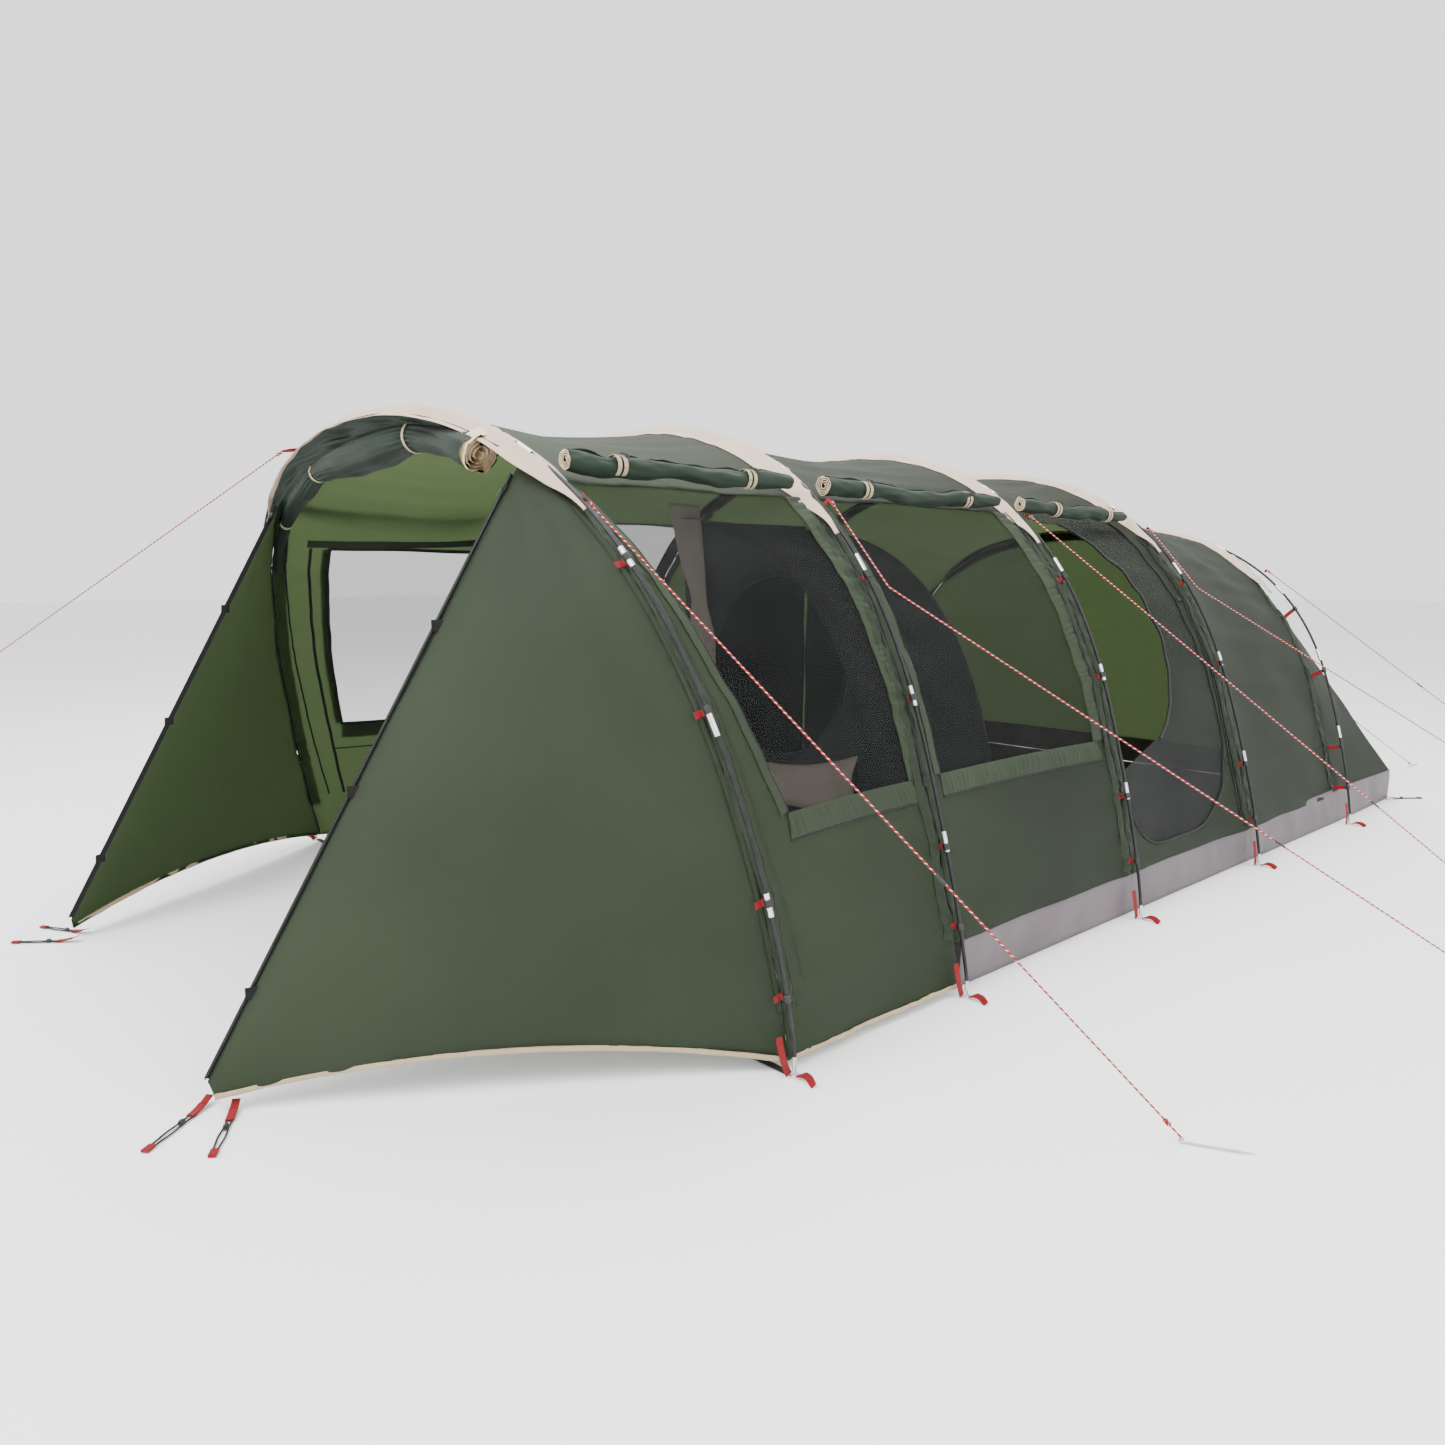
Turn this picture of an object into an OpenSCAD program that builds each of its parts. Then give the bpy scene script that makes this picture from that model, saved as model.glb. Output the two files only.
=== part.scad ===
// Tunnel tent on five pole hoops, with an open front porch, an inner cabin and a side door.
// Millimetres. +X is the tent's right as seen from its front, +Y runs to the rear, +Z is up.
// The origin is on the ground, midway between the front and rear corners.

/* [Footprint] */
// From the front corners to the first hoop's feet
porch_depth = 1350; // [1000:10:1700]
// First to second hoop
bay_1 = 830; // [700:10:1100]
// Second to third hoop
bay_2 = 1220; // [1100:10:1500]
// Third to fourth hoop
bay_3 = 1210; // [1150:10:1500]
// Fourth to fifth hoop
bay_4 = 1270; // [1000:10:1500]
// From the last hoop's feet to the rear corners
rear_depth = 970; // [700:10:1300]
// Half the distance between the front corners
front_corner_x = 880; // [600:10:1300]
// Half the distance between the rear corners
rear_corner_x = 1780; // [1500:10:1800]

/* [Hoops] */
// Half the distance between the first hoop's feet
half_width = 1800; // [1600:10:2000]
// How much wider each half of the last hoop is than the first
half_width_growth = 60; // [0:10:100]
// Height of the first hoop
front_height = 2000; // [1800:10:2100]
// Height of the second and third hoops
ridge_height = 2020; // [1900:10:2150]
// Height of the last hoop
rear_height = 1730; // [1600:10:1900]
// How far the first hoop leans forwards, in degrees
front_lean = 11.6; // [0:0.2:14]
// How far the last hoop leans backwards, in degrees
rear_lean = 9; // [0:0.5:12]
// Radius of the pole
pole_r = 6.35; // [4:0.05:7]

/* [Fabric] */
// Thickness of every fabric skin
skin_t = 3; // [2:0.5:4]
// Gap between pole and fabric on the sides
side_gap = 28; // [20:1:40]
// The same gap at the last hoop, where the fabric pulls straight
rear_side_gap = 75; // [40:1:90]
// Gap between pole and fabric along the top
top_gap = 14; // [12:1:20]
// How far the roof dips between two hoops
roof_sag = 45; // [0:5:60]
// Height of the light skirt along the ground
skirt_h = 175; // [120:5:220]
// Width of the pole sleeve over each hoop
sleeve_w = 130; // [100:5:160]
// Angle of the sleeve's ends, from the ground round the hoop
sleeve_end = 50; // [46:1:60]

/* [Hardware] */
// Radius of the guy lines
guy_r = 2; // [1.5:0.1:2.5]
// Length of a guy runner
runner_length = 38; // [30:1:45]
// Distance along the pole from each foot to its first joint
first_section = 540; // [500:10:700]
// Number of joints in each hoop
joints_per_hoop = 11; // [9:2:13]

/* [Hidden] */
$fn = 24;

FLY_GREEN = [0.33, 0.38, 0.28];
SLEEVE_CREAM = [0.87, 0.82, 0.76];
SKIRT_GREY = [0.59, 0.55, 0.57];
WEBBING_RED = [0.72, 0.08, 0.13];
MESH_GREY = [0.25, 0.25, 0.25];

// Where each hoop stands and how it is bent
total_length = porch_depth + bay_1 + bay_2 + bay_3 + bay_4 + rear_depth;
front_y = -total_length / 2;
rear_y = total_length / 2;
hoop_y = [
    front_y + porch_depth,
    front_y + porch_depth + bay_1,
    front_y + porch_depth + bay_1 + bay_2,
    front_y + porch_depth + bay_1 + bay_2 + bay_3,
    rear_y - rear_depth
];
hoop_w = [for (k = [0:4]) half_width + half_width_growth * k / 4];
hoop_h = [front_height, ridge_height, ridge_height - 10, ridge_height - 40, rear_height];
hoop_lean = [-front_lean, -2.1, 1.3, -1.3, rear_lean];
last = len(hoop_y) - 1;

// A bent pole isn't an ellipse: these are the shares of its first even harmonics
FRONT_BOW = [0.070, 0.007, -0.011];
BOW = [0.028, -0.025, -0.012];

// Angles at which a hoop starts and at which the clips hold the fabric, from each foot
foot_tip_h = 60;
CLIP_ANGLES = [7, 15, 30, 43];
ARC_STEPS = 28;

function unit(v) = v / norm(v);
function fold(t) = t <= 90 ? t : 180 - t;
// The same with a rounded crown
function round_fold(t) = 90 - sqrt(pow(t - 90, 2) + 16);
function clamp(x) = max(0, min(1, x));

// A point on hoop k at angle t, moved inwards by gap
function hoop_xz(k, t, gap = 0) =
    let (
        c = k == 0 ? FRONT_BOW : BOW,
        f = round_fold(t),
        r = 1 + c[0] * sin(2 * f) + c[1] * sin(4 * f) + c[2] * sin(6 * f),
        x = hoop_w[k] * r * cos(t),
        z = hoop_h[k] * r * sin(t),
        n = unit([x / pow(hoop_w[k], 2), z / pow(hoop_h[k], 2)])
    )
    [x - gap * n[0], z - gap * n[1]];

function hoop_pt(k, t, gap = 0) =
    let (p = hoop_xz(k, t, gap))
    [p[0], hoop_y[k] + p[1] * tan(hoop_lean[k]), p[1]];

// The angle at which hoop k reaches height z
function angle_at(k, z) = lookup(z, [for (t = [0:0.5:60]) [hoop_xz(k, t)[1], t]]);

// Distance along hoop k from its right foot, against the angle
function arc_table(k) = [
    for (t = 0, s = 0; t <= 180; s = s + norm(hoop_pt(k, t + 1) - hoop_pt(k, t)), t = t + 1) [s, t]
];

function hoop_tangent(k, t) = unit(hoop_pt(k, t + 1) - hoop_pt(k, t - 1));
function hoop_normal(k, t) = unit(hoop_pt(k, t) - hoop_pt(k, t, 10));

// The fly hangs close under the sleeve and further inside the pole on the sides
function fly_gap(k, t) =
    let (side = k == last ? rear_side_gap : side_gap)
    top_gap + (side - top_gap) * clamp((64 - fold(t)) / 18);

// A point on the fly between hoops k and k + 1, at share u and angle t, moved inwards by inset
function fly_pt(k, u, t, inset = 0) =
    let (
        a = hoop_pt(k, t, fly_gap(k, t) + inset),
        b = hoop_pt(k + 1, t, fly_gap(k + 1, t) + inset),
        sag = roof_sag * 4 * u * (1 - u) * (0.35 + 0.65 * sin(t)),
        n = unit([cos(t), 0, sin(t)])
    )
    a + (b - a) * u - sag * n;

function spread(a, b, n) = [for (i = [0:n]) a + (b - a) * i / n];

// A closed skin between an outer and an inner grid of points
module skin(outer, inner) {
    m = len(outer);
    n = len(outer[0]);
    points = concat([for (r = outer) each r], [for (r = inner) each r]);
    function o(i, j) = i * n + j;
    function q(i, j) = m * n + i * n + j;
    function quad(a, b, c, d) = [[a, b, c], [a, c, d]];
    faces = [
        for (i = [0:m - 2], j = [0:n - 2]) each concat(
            quad(o(i, j), o(i, j + 1), o(i + 1, j + 1), o(i + 1, j)),
            quad(q(i, j), q(i + 1, j), q(i + 1, j + 1), q(i, j + 1))
        ),
        for (j = [0:n - 2]) each concat(
            quad(o(0, j + 1), o(0, j), q(0, j), q(0, j + 1)),
            quad(o(m - 1, j), o(m - 1, j + 1), q(m - 1, j + 1), q(m - 1, j))
        ),
        for (i = [0:m - 2]) each concat(
            quad(o(i, 0), o(i + 1, 0), q(i + 1, 0), q(i, 0)),
            quad(o(i + 1, n - 1), o(i, n - 1), q(i, n - 1), q(i + 1, n - 1))
        )
    ];
    polyhedron(points, faces, convexity = 6);
}

// A tube along a path; across is a direction that the path never follows
module tube(path, r, across, sides = 8) {
    m = len(path);
    function along(i) = unit(path[min(i + 1, m - 1)] - path[max(i - 1, 0)]);
    function ring(i) =
        let (t = along(i), a = unit(across - (across * t) * t), b = cross(t, a))
        [for (j = [0:sides - 1]) path[i] + r * (a * cos(360 * j / sides) + b * sin(360 * j / sides))];
    points = [for (i = [0:m - 1]) each ring(i)];
    faces = [
        [for (j = [0:sides - 1]) j],
        [for (j = [sides - 1:-1:0]) (m - 1) * sides + j],
        for (i = [0:m - 2], j = [0:sides - 1])
            let (a = i * sides + j, b = i * sides + (j + 1) % sides)
            each [[a, a + sides, b + sides], [a, b + sides, b]]
    ];
    polyhedron(points, faces, convexity = 6);
}

// Places its children with their Z along a direction
module facing(at, dir) {
    d = unit(dir);
    translate(at) rotate([0, acos(d[2]), atan2(d[1], d[0])]) children();
}

module both_sides() {
    children();
    mirror([1, 0, 0]) children();
}

// ---- Poles and what is on them ----

module pole_hoop(k) {
    start = angle_at(k, foot_tip_h);
    color([0.07, 0.07, 0.07])
        tube([for (t = spread(start, 180 - start, 80)) hoop_pt(k, t)], pole_r, [0, 1, -tan(hoop_lean[k])]);
}

ferrule_h = 70;
ferrule_r = pole_r + 2.2;
// Clearance round the bent pole for what is threaded on it
slip_fit = 1.2;
module pole_ferrules() {
    color([0.8, 0.8, 0.82])
        for (k = [0:last]) {
            table = arc_table(k);
            length = table[len(table) - 1][0];
            for (s = spread(first_section, length - first_section, joints_per_hoop - 1)) {
                t = lookup(s, table);
                facing(hoop_pt(k, t), hoop_tangent(k, t))
                    difference() {
                        cylinder(h = ferrule_h, r = ferrule_r, center = true);
                        cylinder(h = ferrule_h + 2, r = pole_r + slip_fit, center = true);
                    }
            }
        }
}

pin_h = 14;
pin_r = 3;
// Clearance under and around pieces that only touch on the real tent
air = 0.3;
function foot_at(k) = let (p = hoop_pt(k, angle_at(k, foot_tip_h))) [p[0], p[1], 0];
module pole_end_tips() {
    color([0.8, 0.8, 0.82])
        both_sides()
            for (k = [0:last])
                translate(foot_at(k)) {
                    cylinder(h = pin_h + 1, r = pin_r);
                    translate([0, 0, pin_h]) cylinder(h = foot_tip_h - pin_h - 2, r = pole_r);
                }
}

ring_r = 13;
ring_wire_r = 2;
module foot_rings() {
    color([0.8, 0.8, 0.82])
        both_sides()
            for (k = [0:last])
                translate(foot_at(k) + [0, 0, ring_wire_r + air])
                    rotate_extrude() translate([ring_r, 0]) circle(r = ring_wire_r);
}

webbing_w = 22;
webbing_t = 2;
tail_l = 70;
// The riser runs from the foot up to the skirt's seam, a little in front of the pole
riser_setback = 48;
riser_inset = 10;
riser_h = skirt_h * 0.75;
corner_tab_l = 45;
module webbing_tabs() {
    color(WEBBING_RED)
        both_sides() {
            for (k = [0:last])
                translate(foot_at(k)) {
                    translate([ring_r + 4, -webbing_w / 2, 1]) cube([tail_l, webbing_w, webbing_t]);
                    translate([-riser_inset, -riser_setback - webbing_w, 1])
                        cube([webbing_t, webbing_w, riser_h]);
                }
            for (c = corner_loops())
                translate([c[0], c[1], 1])
                    rotate(c[2]) translate([0, -webbing_w / 2, 0]) cube([corner_tab_l, webbing_w, webbing_t]);
        }
}

// Each corner elastic: where its tab starts on the ground, and the way it points
function corner_loops() = [
    [front_corner_x - 20, front_y + 20, -52],
    [front_corner_x + 60, front_y + 75, -30],
    [rear_corner_x + 14, rear_y - 20, 52]
];

elastic_r = 2.5;
elastic_l = 170;
elastic_gap = 9;
module corner_elastics() {
    color([0.05, 0.05, 0.05])
        both_sides()
            for (c = corner_loops())
                translate([c[0], c[1], elastic_r + air])
                    rotate(c[2]) translate([corner_tab_l + 3, 0, 0]) {
                        for (s = [-1, 1])
                            translate([0, s * elastic_gap, 0])
                                rotate([0, 90, 0]) cylinder(h = elastic_l, r = elastic_r);
                        translate([elastic_l, 0, 0])
                            rotate([0, 0, -90])
                                rotate_extrude(angle = 180) translate([elastic_gap, 0]) circle(r = elastic_r);
                    }
}

module front_base_strap() {
    p = foot_at(0);
    half = p[0] - ring_r - ring_wire_r - 1;
    color([0.06, 0.06, 0.06])
        translate([-half, p[1] - webbing_w / 2, 0.5]) cube([2 * half, webbing_w, webbing_t]);
}

clip_h = 22;
clip_r = 11;
// A clip passes over the ferrules
clip_bore_r = ferrule_r + slip_fit;
module pole_clips() {
    color([0.06, 0.06, 0.06])
        both_sides()
            for (k = [0:last], t = CLIP_ANGLES)
                facing(hoop_pt(k, t), hoop_tangent(k, t))
                    difference() {
                        cylinder(h = clip_h, r = clip_r, center = true);
                        cylinder(h = clip_h + 2, r = clip_bore_r, center = true);
                    }
}

tape_w = 20;
module clip_tapes() {
    color(WEBBING_RED)
        both_sides()
            for (k = [0:last], t = CLIP_ANGLES) {
                reach = fly_gap(k, t) - clip_r - 6 * air;
                if (reach > webbing_t)
                    facing(hoop_pt(k, t, clip_r + air), -hoop_normal(k, t))
                        translate([-webbing_t / 2, -tape_w / 2, 0]) cube([webbing_t, tape_w, reach]);
            }
}

sleeve_lift = 12;
function sleeve_band(k, gap) = [
    for (s = [-0.5, 0, 0.5]) [
        for (t = spread(sleeve_end, 180 - sleeve_end, 24))
            hoop_pt(k, t, gap) + [0, s * sleeve_w, 0]
    ]
];

module pole_sleeves() {
    color(SLEEVE_CREAM)
        for (k = [0:last])
            skin(sleeve_band(k, -sleeve_lift - skin_t), sleeve_band(k, -sleeve_lift));
}

// ---- Fly ----

hem_h = 30;
// The fly ends this far above the skirt
seam_gap = 6;
wing_top = 58;
hem_rise = 90;
wing_normal = unit([porch_depth, front_corner_x - half_width, 0]);

// A point on the right wing: u runs from the corner to the first hoop, t up the hoop
function wing_pt(u, t, inset = 0) =
    let (
        corner = [front_corner_x, front_y, hem_h],
        top = hoop_pt(0, t, side_gap + 4),
        rise = hem_rise * 4 * u * (1 - u) * pow(1 - clamp(t / wing_top), 4)
    )
    corner + (top - corner) * u + [0, 0, rise] - inset * wing_normal;

module front_wing() {
    angles = spread(angle_at(0, hem_h), wing_top, 12);
    function grid(inset) = [for (u = [0.03, 0.25, 0.5, 0.75, 0.99]) [for (t = angles) wing_pt(u, t, inset)]];
    color(FLY_GREEN) skin(grid(0), grid(skin_t));
}

// The bays' skins stop short of each hoop, and at the skirt or the hem along the ground
bay_end = 0.004;
function bay_floor(k) = k == 0 ? hem_h : skirt_h + seam_gap;
function bay_grid(k, inset, u0 = bay_end, u1 = 1 - bay_end) = [
    for (u = spread(u0, u1, 4)) let (t0 = angle_at(k, bay_floor(k))) [
        for (t = spread(t0, 180 - t0, ARC_STEPS)) fly_pt(k, u, t, inset)
    ]
];

// A prism through one side wall, drawn as [y, z] points
module through_side(outline) {
    rotate([90, 0, 90]) translate([0, 0, 600]) linear_extrude(2000) polygon(outline);
}

window_base = 740;
window_top = 1700;
// From the window's front edge back to hoop k, and from its rear edge on to the next
window_front = 70;
window_rear = 110;
// Corners of a side window in bay k; it follows the lean of both hoops
function window_outline(k, grow = 0) = [
    [hoop_y[k] + window_front - grow, window_base - grow],
    [hoop_y[k + 1] - window_rear + grow, window_base - grow],
    [hoop_y[k + 1] - window_rear + window_top * tan(hoop_lean[k + 1]) + grow, window_top + grow],
    [hoop_y[k] + window_front + window_top * tan(hoop_lean[k]) - grow, window_top + grow]
];

door_low = 260;
door_high = 1720;
door_r = 420;
// The rounding of the door's lower front corner
door_heel_y = 260;
door_heel_z = 200;
function door_left() = hoop_y[2] + 90;
function door_right() = hoop_y[3] - 130;
// The D-shaped side door, straight by hoop 3 and round on its other corners
function door_outline(grow = 0) = [
    for (a = [180:15:270])
        [
            door_left() + door_heel_y + (door_heel_y + grow) * cos(a),
            door_low + door_heel_z + (door_heel_z + grow) * sin(a)
        ],
    for (a = [270:15:360])
        [door_right() - door_r + (door_r + grow) * cos(a), door_low + door_r + (door_r + grow) * sin(a)],
    [door_right() - 60 + grow, door_high + grow],
    [door_left() - grow, door_high + grow]
];

// The half of the door that is folded away, between hoop 3 and a curved edge
leaf_r = 560;
leaf_y = 120;
leaf_z = 1180;
leaf_low = 600;
leaf_margin = 20;
function open_door_outline(grow = 0) = [
    [door_left() + leaf_margin - grow, leaf_low - grow],
    for (a = [-60:20:60])
        [door_left() + leaf_y + (leaf_r + grow) * cos(a), leaf_z + (leaf_r + grow) * sin(a)],
    [door_left() + leaf_margin - grow, door_high - leaf_margin + grow]
];

module fly_bay(k) {
    color(FLY_GREEN)
        difference() {
            skin(bay_grid(k, 0), bay_grid(k, skin_t));
            if (k < 2)
                both_sides() through_side(window_outline(k));
            if (k == 2)
                through_side(door_outline());
        }
}

// The rear panel falls from the last hoop to the ground, with a corner seam on each side
rear_seam = 50;
rear_bulge = 40;
function rear_edge(t) =
    let (side = t > 90 ? -1 : 1, f = fold(t), corner = [rear_corner_x, rear_y, skirt_h])
    f <= rear_seam
        ? let (
            foot = hoop_pt(last, angle_at(last, skirt_h), rear_side_gap),
            edge = foot + (corner - foot) * f / rear_seam
        )
            [side * edge[0], edge[1], skirt_h + seam_gap]
        : [
            side * corner[0] * (90 - f) / (90 - rear_seam),
            corner[1] + rear_bulge * (f - rear_seam) / (90 - rear_seam),
            skirt_h + seam_gap
        ];

function rear_pt(u, t, inset = 0) =
    let (
        top = hoop_pt(last, t, fly_gap(last, t) + inset),
        foot = rear_edge(t),
        n = unit([foot[0] / 3, foot[1] - hoop_y[last], 0])
    )
    top + (foot - inset * n - top) * u;

module rear_panel() {
    t0 = angle_at(last, skirt_h + seam_gap);
    function grid(inset) = [
        for (u = [0.02, 0.5, 1]) [for (t = spread(t0, 180 - t0, 32)) rear_pt(u, t, inset)]
    ];
    color(FLY_GREEN) skin(grid(0), grid(skin_t));
}

// Half-width of the floor along the ground, as [y, x] points
floor_inset = 75;
function floor_side() = [
    [hoop_y[1] + 40, hoop_w[1] - floor_inset],
    [hoop_y[2], hoop_w[2] - floor_inset],
    [hoop_y[3], hoop_w[3] - floor_inset],
    [hoop_y[4], hoop_w[4] - floor_inset],
    [rear_y, rear_corner_x]
];

module groundsheet() {
    side = floor_side();
    half = [for (p = side) [p[1] - 2 * skin_t, p[0] - (p[0] == rear_y ? 2 * skin_t : 0)]];
    color(SKIRT_GREY)
        linear_extrude(skin_t)
            polygon(concat(half, [for (i = [len(half) - 1:-1:0]) [-half[i][0], half[i][1]]]));
}

// The skirt stands along both sides and across the rear
skirt_flare = 20;
function skirt_top(p) = [p[1] + (p[0] == rear_y ? 0 : skirt_flare), p[0], skirt_h];
module floor_skirt() {
    side = floor_side();
    low = concat([for (p = side) [p[1], p[0], 0]], [[0, rear_y + rear_bulge, 0]]);
    high = concat([for (p = side) skirt_top(p)], [[0, rear_y + rear_bulge, skirt_h]]);
    function rows(inset) = [
        for (r = [high, low]) [for (p = r) p - inset * [sign(p[0]), p[1] >= rear_y ? 1 : 0, 0]]
    ];
    color(SKIRT_GREY)
        both_sides()
            intersection() {
                skin(rows(0), rows(skin_t));
                translate([0.5, -5000, -1]) cube([3000, 10000, 1000]);
            }
}

// ---- Rolled doors and windows, meshes ----

// The front door hangs rolled up under the first hoop, from the right wing to the left leg
front_roll_r = 70;
front_roll_drop = 125;
front_roll_setback = 60;
function front_roll_pt(t) = hoop_pt(0, t, front_roll_drop) + [0, front_roll_setback, 0];
module front_door_roll() {
    color([0.3, 0.39, 0.32])
        tube([for (t = spread(59, 138, 20)) front_roll_pt(t)], front_roll_r, [0, 1, 0], 12);
}

// The other rolls lie on the fly between two sleeves
roll_r = 38;
roll_t = 55.5;
function bay_roll_pt(k, s) =
    let (lift = -roll_r - 8, a = fly_pt(k, 0.08, roll_t, lift), b = fly_pt(k, 0.92, roll_t, lift))
    a + (b - a) * s;

module bay_roll(k) {
    a = bay_roll_pt(k, 0);
    b = bay_roll_pt(k, 1);
    facing(a, b - a) cylinder(h = norm(b - a), r = roll_r);
}

module window_rolls() {
    color([0.2, 0.32, 0.24])
        both_sides()
            for (k = [0, 1]) bay_roll(k);
}

module side_door_roll() {
    color([0.2, 0.32, 0.24]) bay_roll(2);
}

tie_w = 18;
module roll_tie(at, dir, r) {
    facing(at, dir)
        difference() {
            cylinder(h = tie_w, r = r + 4, center = true);
            cylinder(h = tie_w + 2, r = r + 1.5, center = true);
        }
}

module roll_ties() {
    color(SLEEVE_CREAM) {
        both_sides()
            for (k = [0, 1], s = [0.2, 0.78]) bay_tie(k, s);
        for (s = [0.3, 0.8]) bay_tie(2, s);
        for (t = [75, 95, 112, 128])
            roll_tie(front_roll_pt(t), hoop_tangent(0, t), front_roll_r + 1);
    }
}

module bay_tie(k, s) {
    roll_tie(bay_roll_pt(k, s), bay_roll_pt(k, 1) - bay_roll_pt(k, 0), roll_r);
}

// The meshes lie just inside the fly's outer face, with a little air round their edges
mesh_t = 1.5;
mesh_inset = 0.5;
mesh_edge = -2;
module window_mesh() {
    color(MESH_GREY)
        both_sides()
            for (k = [0, 1])
                intersection() {
                    skin(bay_grid(k, mesh_inset), bay_grid(k, mesh_inset + mesh_t));
                    through_side(window_outline(k, mesh_edge));
                }
}

module side_door_mesh() {
    color(MESH_GREY)
        difference() {
            intersection() {
                skin(bay_grid(2, mesh_inset), bay_grid(2, mesh_inset + mesh_t));
                through_side(door_outline(mesh_edge));
            }
            through_side(open_door_outline());
        }
}

// ---- Inner cabin ----

// The cabin hangs on the right of the second bay and is open at its front
cabin_gap = 330;
cabin_hem_h = 60;
cabin_front = 0.085;
cabin_rear = 0.725;
cabin_ridge = 81;
cabin_side_x = 200;
cabin_wall_t = 4;
cabin_wall_inset = 16;
cabin_door_r = 360;
cabin_door_x = 780;
cabin_door_z = 1060;

function cabin_ring(u, inset) =
    let (t0 = angle_at(1, cabin_hem_h))
    [for (t = spread(t0, cabin_ridge, 12)) fly_pt(1, u, t, cabin_gap + inset)];

// A wall across the cabin at share u of the bay
module cabin_wall(u, with_door) {
    ring = cabin_ring(u, cabin_wall_inset);
    top = ring[len(ring) - 1][2];
    outline = concat([for (p = ring) [p[0], p[2]]], [[cabin_side_x, top], [cabin_side_x, cabin_hem_h]]);
    translate([0, fly_pt(1, u, 0)[1] + cabin_wall_t / 2, 0])
        rotate([90, 0, 0])
            linear_extrude(cabin_wall_t)
                difference() {
                    polygon(outline);
                    if (with_door)
                        translate([cabin_door_x, cabin_door_z]) circle(r = cabin_door_r, $fn = 48);
                }
}

module inner_cabin() {
    function rows(inset) = [for (u = spread(0.092, 0.718, 2)) cabin_ring(u, inset)];
    front = fly_pt(1, cabin_front, 0)[1];
    depth = fly_pt(1, cabin_rear, 0)[1] - front;
    top = cabin_ring(cabin_front, 0)[12][2];
    color([0.18, 0.2, 0.18]) {
        skin(rows(0), rows(skin_t));
        cabin_wall(cabin_front, true);
        cabin_wall(cabin_rear, false);
        translate([cabin_side_x - cabin_wall_t - 1, front, cabin_hem_h])
            cube([cabin_wall_t, depth, top - cabin_hem_h]);
    }
}

// ---- Zips, hems ----

zip_w = 12;
zip_t = 3;
// The zip runs along the wing's front edge, from the corner up to the first hoop
zip_offset = 9;
zip_rest = 0.975;
function zip_low() = wing_pt(0.035, wing_top) + [0, -zip_offset, 0];
function zip_high() = wing_pt(0.97, wing_top) + [0, -zip_offset, 0];
module wing_zips() {
    a = zip_low();
    b = zip_high();
    color([0.05, 0.05, 0.05])
        both_sides()
            facing(a, b - a) translate([-zip_t / 2, -zip_w / 2, 0]) cube([zip_t, zip_w, norm(b - a)]);
}

slider_l = 26;
module zip_slider() {
    a = zip_low();
    b = zip_high();
    color([0.1, 0.1, 0.1])
        facing(a + (b - a) * zip_rest, b - a)
            difference() {
                cube([zip_t + 5, zip_w + 5, slider_l], center = true);
                cube([zip_t + 1, zip_w + 1, slider_l + 2], center = true);
            }
}

door_zip_w = 10;
door_zip_edge = 6;
module side_door_zip() {
    color([0.05, 0.05, 0.05])
        difference() {
            intersection() {
                skin(bay_grid(2, -zip_t - 1), bay_grid(2, -1));
                through_side(door_outline(door_zip_w + door_zip_edge));
            }
            through_side(door_outline(door_zip_edge));
        }
}

// Tape over the bottom edge of the wings and of the first bay
hem_w = 14;
hem_out = [4, 2];
wing_lean = 0.2;
module hem_tapes() {
    wing_us = spread(0.03, 0.98, 12);
    t0 = angle_at(0, hem_h);
    function wing_strip(out) = [
        for (z = [hem_w, 0]) [for (u = wing_us) wing_pt(u, t0, -out - wing_lean * z) + [0, 0, z - 2]]
    ];
    function bay_strip(out) = [
        for (z = [hem_w, 0]) [for (u = spread(0.02, 0.98, 6)) fly_pt(0, u, t0, -out) + [0, 0, z - 2]]
    ];
    color(SLEEVE_CREAM)
        both_sides() {
            skin(wing_strip(hem_out[0]), wing_strip(hem_out[1]));
            skin(bay_strip(hem_out[0]), bay_strip(hem_out[1]));
        }
}

// ---- Guy lines ----

// Each guy's route on the right: sleeve tip, the clip that some of them turn at, and peg
ROUTES = [
    [[1262, -2396, 1637], [1570, -2230, 1292], [2710, -1615, 14]],
    [[1190, -1290, 1695], [1450, -1270, 1385], [3140, 5, 14]],
    [[1195, 10, 1690], [1635, 240, 1271], [2955, 930, 14]],
    [[1200, 1140, 1665], [1460, 1165, 1360], [2980, 2825, 14]],
    [[1215, 2690, 1454], [1615, 2910, 1094], [2815, 3570, 14]]
];
// The first guy on the left runs forwards
LEFT_FRONT_ROUTE = [[-680, -2545, 1926], [-1410, -3028, 1448], [-3600, -4477, 14]];
REAR_ROUTE = [[1560, 3185, 558], [1558, 3595, 422], [1552, 4825, 14]];

function flip(route) = [for (p = route) [-p[0], p[1], p[2]]];
function right_route(k) = ROUTES[k - 1];
function left_route(k) = k == 1 ? LEFT_FRONT_ROUTE : flip(ROUTES[k - 1]);

module guy(route) {
    color(WEBBING_RED) tube(route, guy_r, [0, 0, 1], 8);
}

// A runner sits on the lower stretch of its guy, at share s of it
RUNNER_SHARE = [0.52, 0.62, 0.62, 0.62, 0.3];
runner_w = 15;
runner_t = 6.4;
runner_end = 9;
runner_bore_r = guy_r + 0.35;
function runner_at(route, s) = route[1] + (route[2] - route[1]) * s;
module runner(route, s) {
    color([0.08, 0.08, 0.08])
        facing(runner_at(route, s), route[2] - route[1])
            difference() {
                translate([-runner_t / 2, -runner_w / 2, -runner_length / 2])
                    cube([runner_t, runner_w, runner_length]);
                cylinder(h = runner_length + 2, r = runner_bore_r, center = true);
                cube([runner_t + 2, 2 * runner_bore_r, runner_length - 2 * runner_end], center = true);
            }
}

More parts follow.
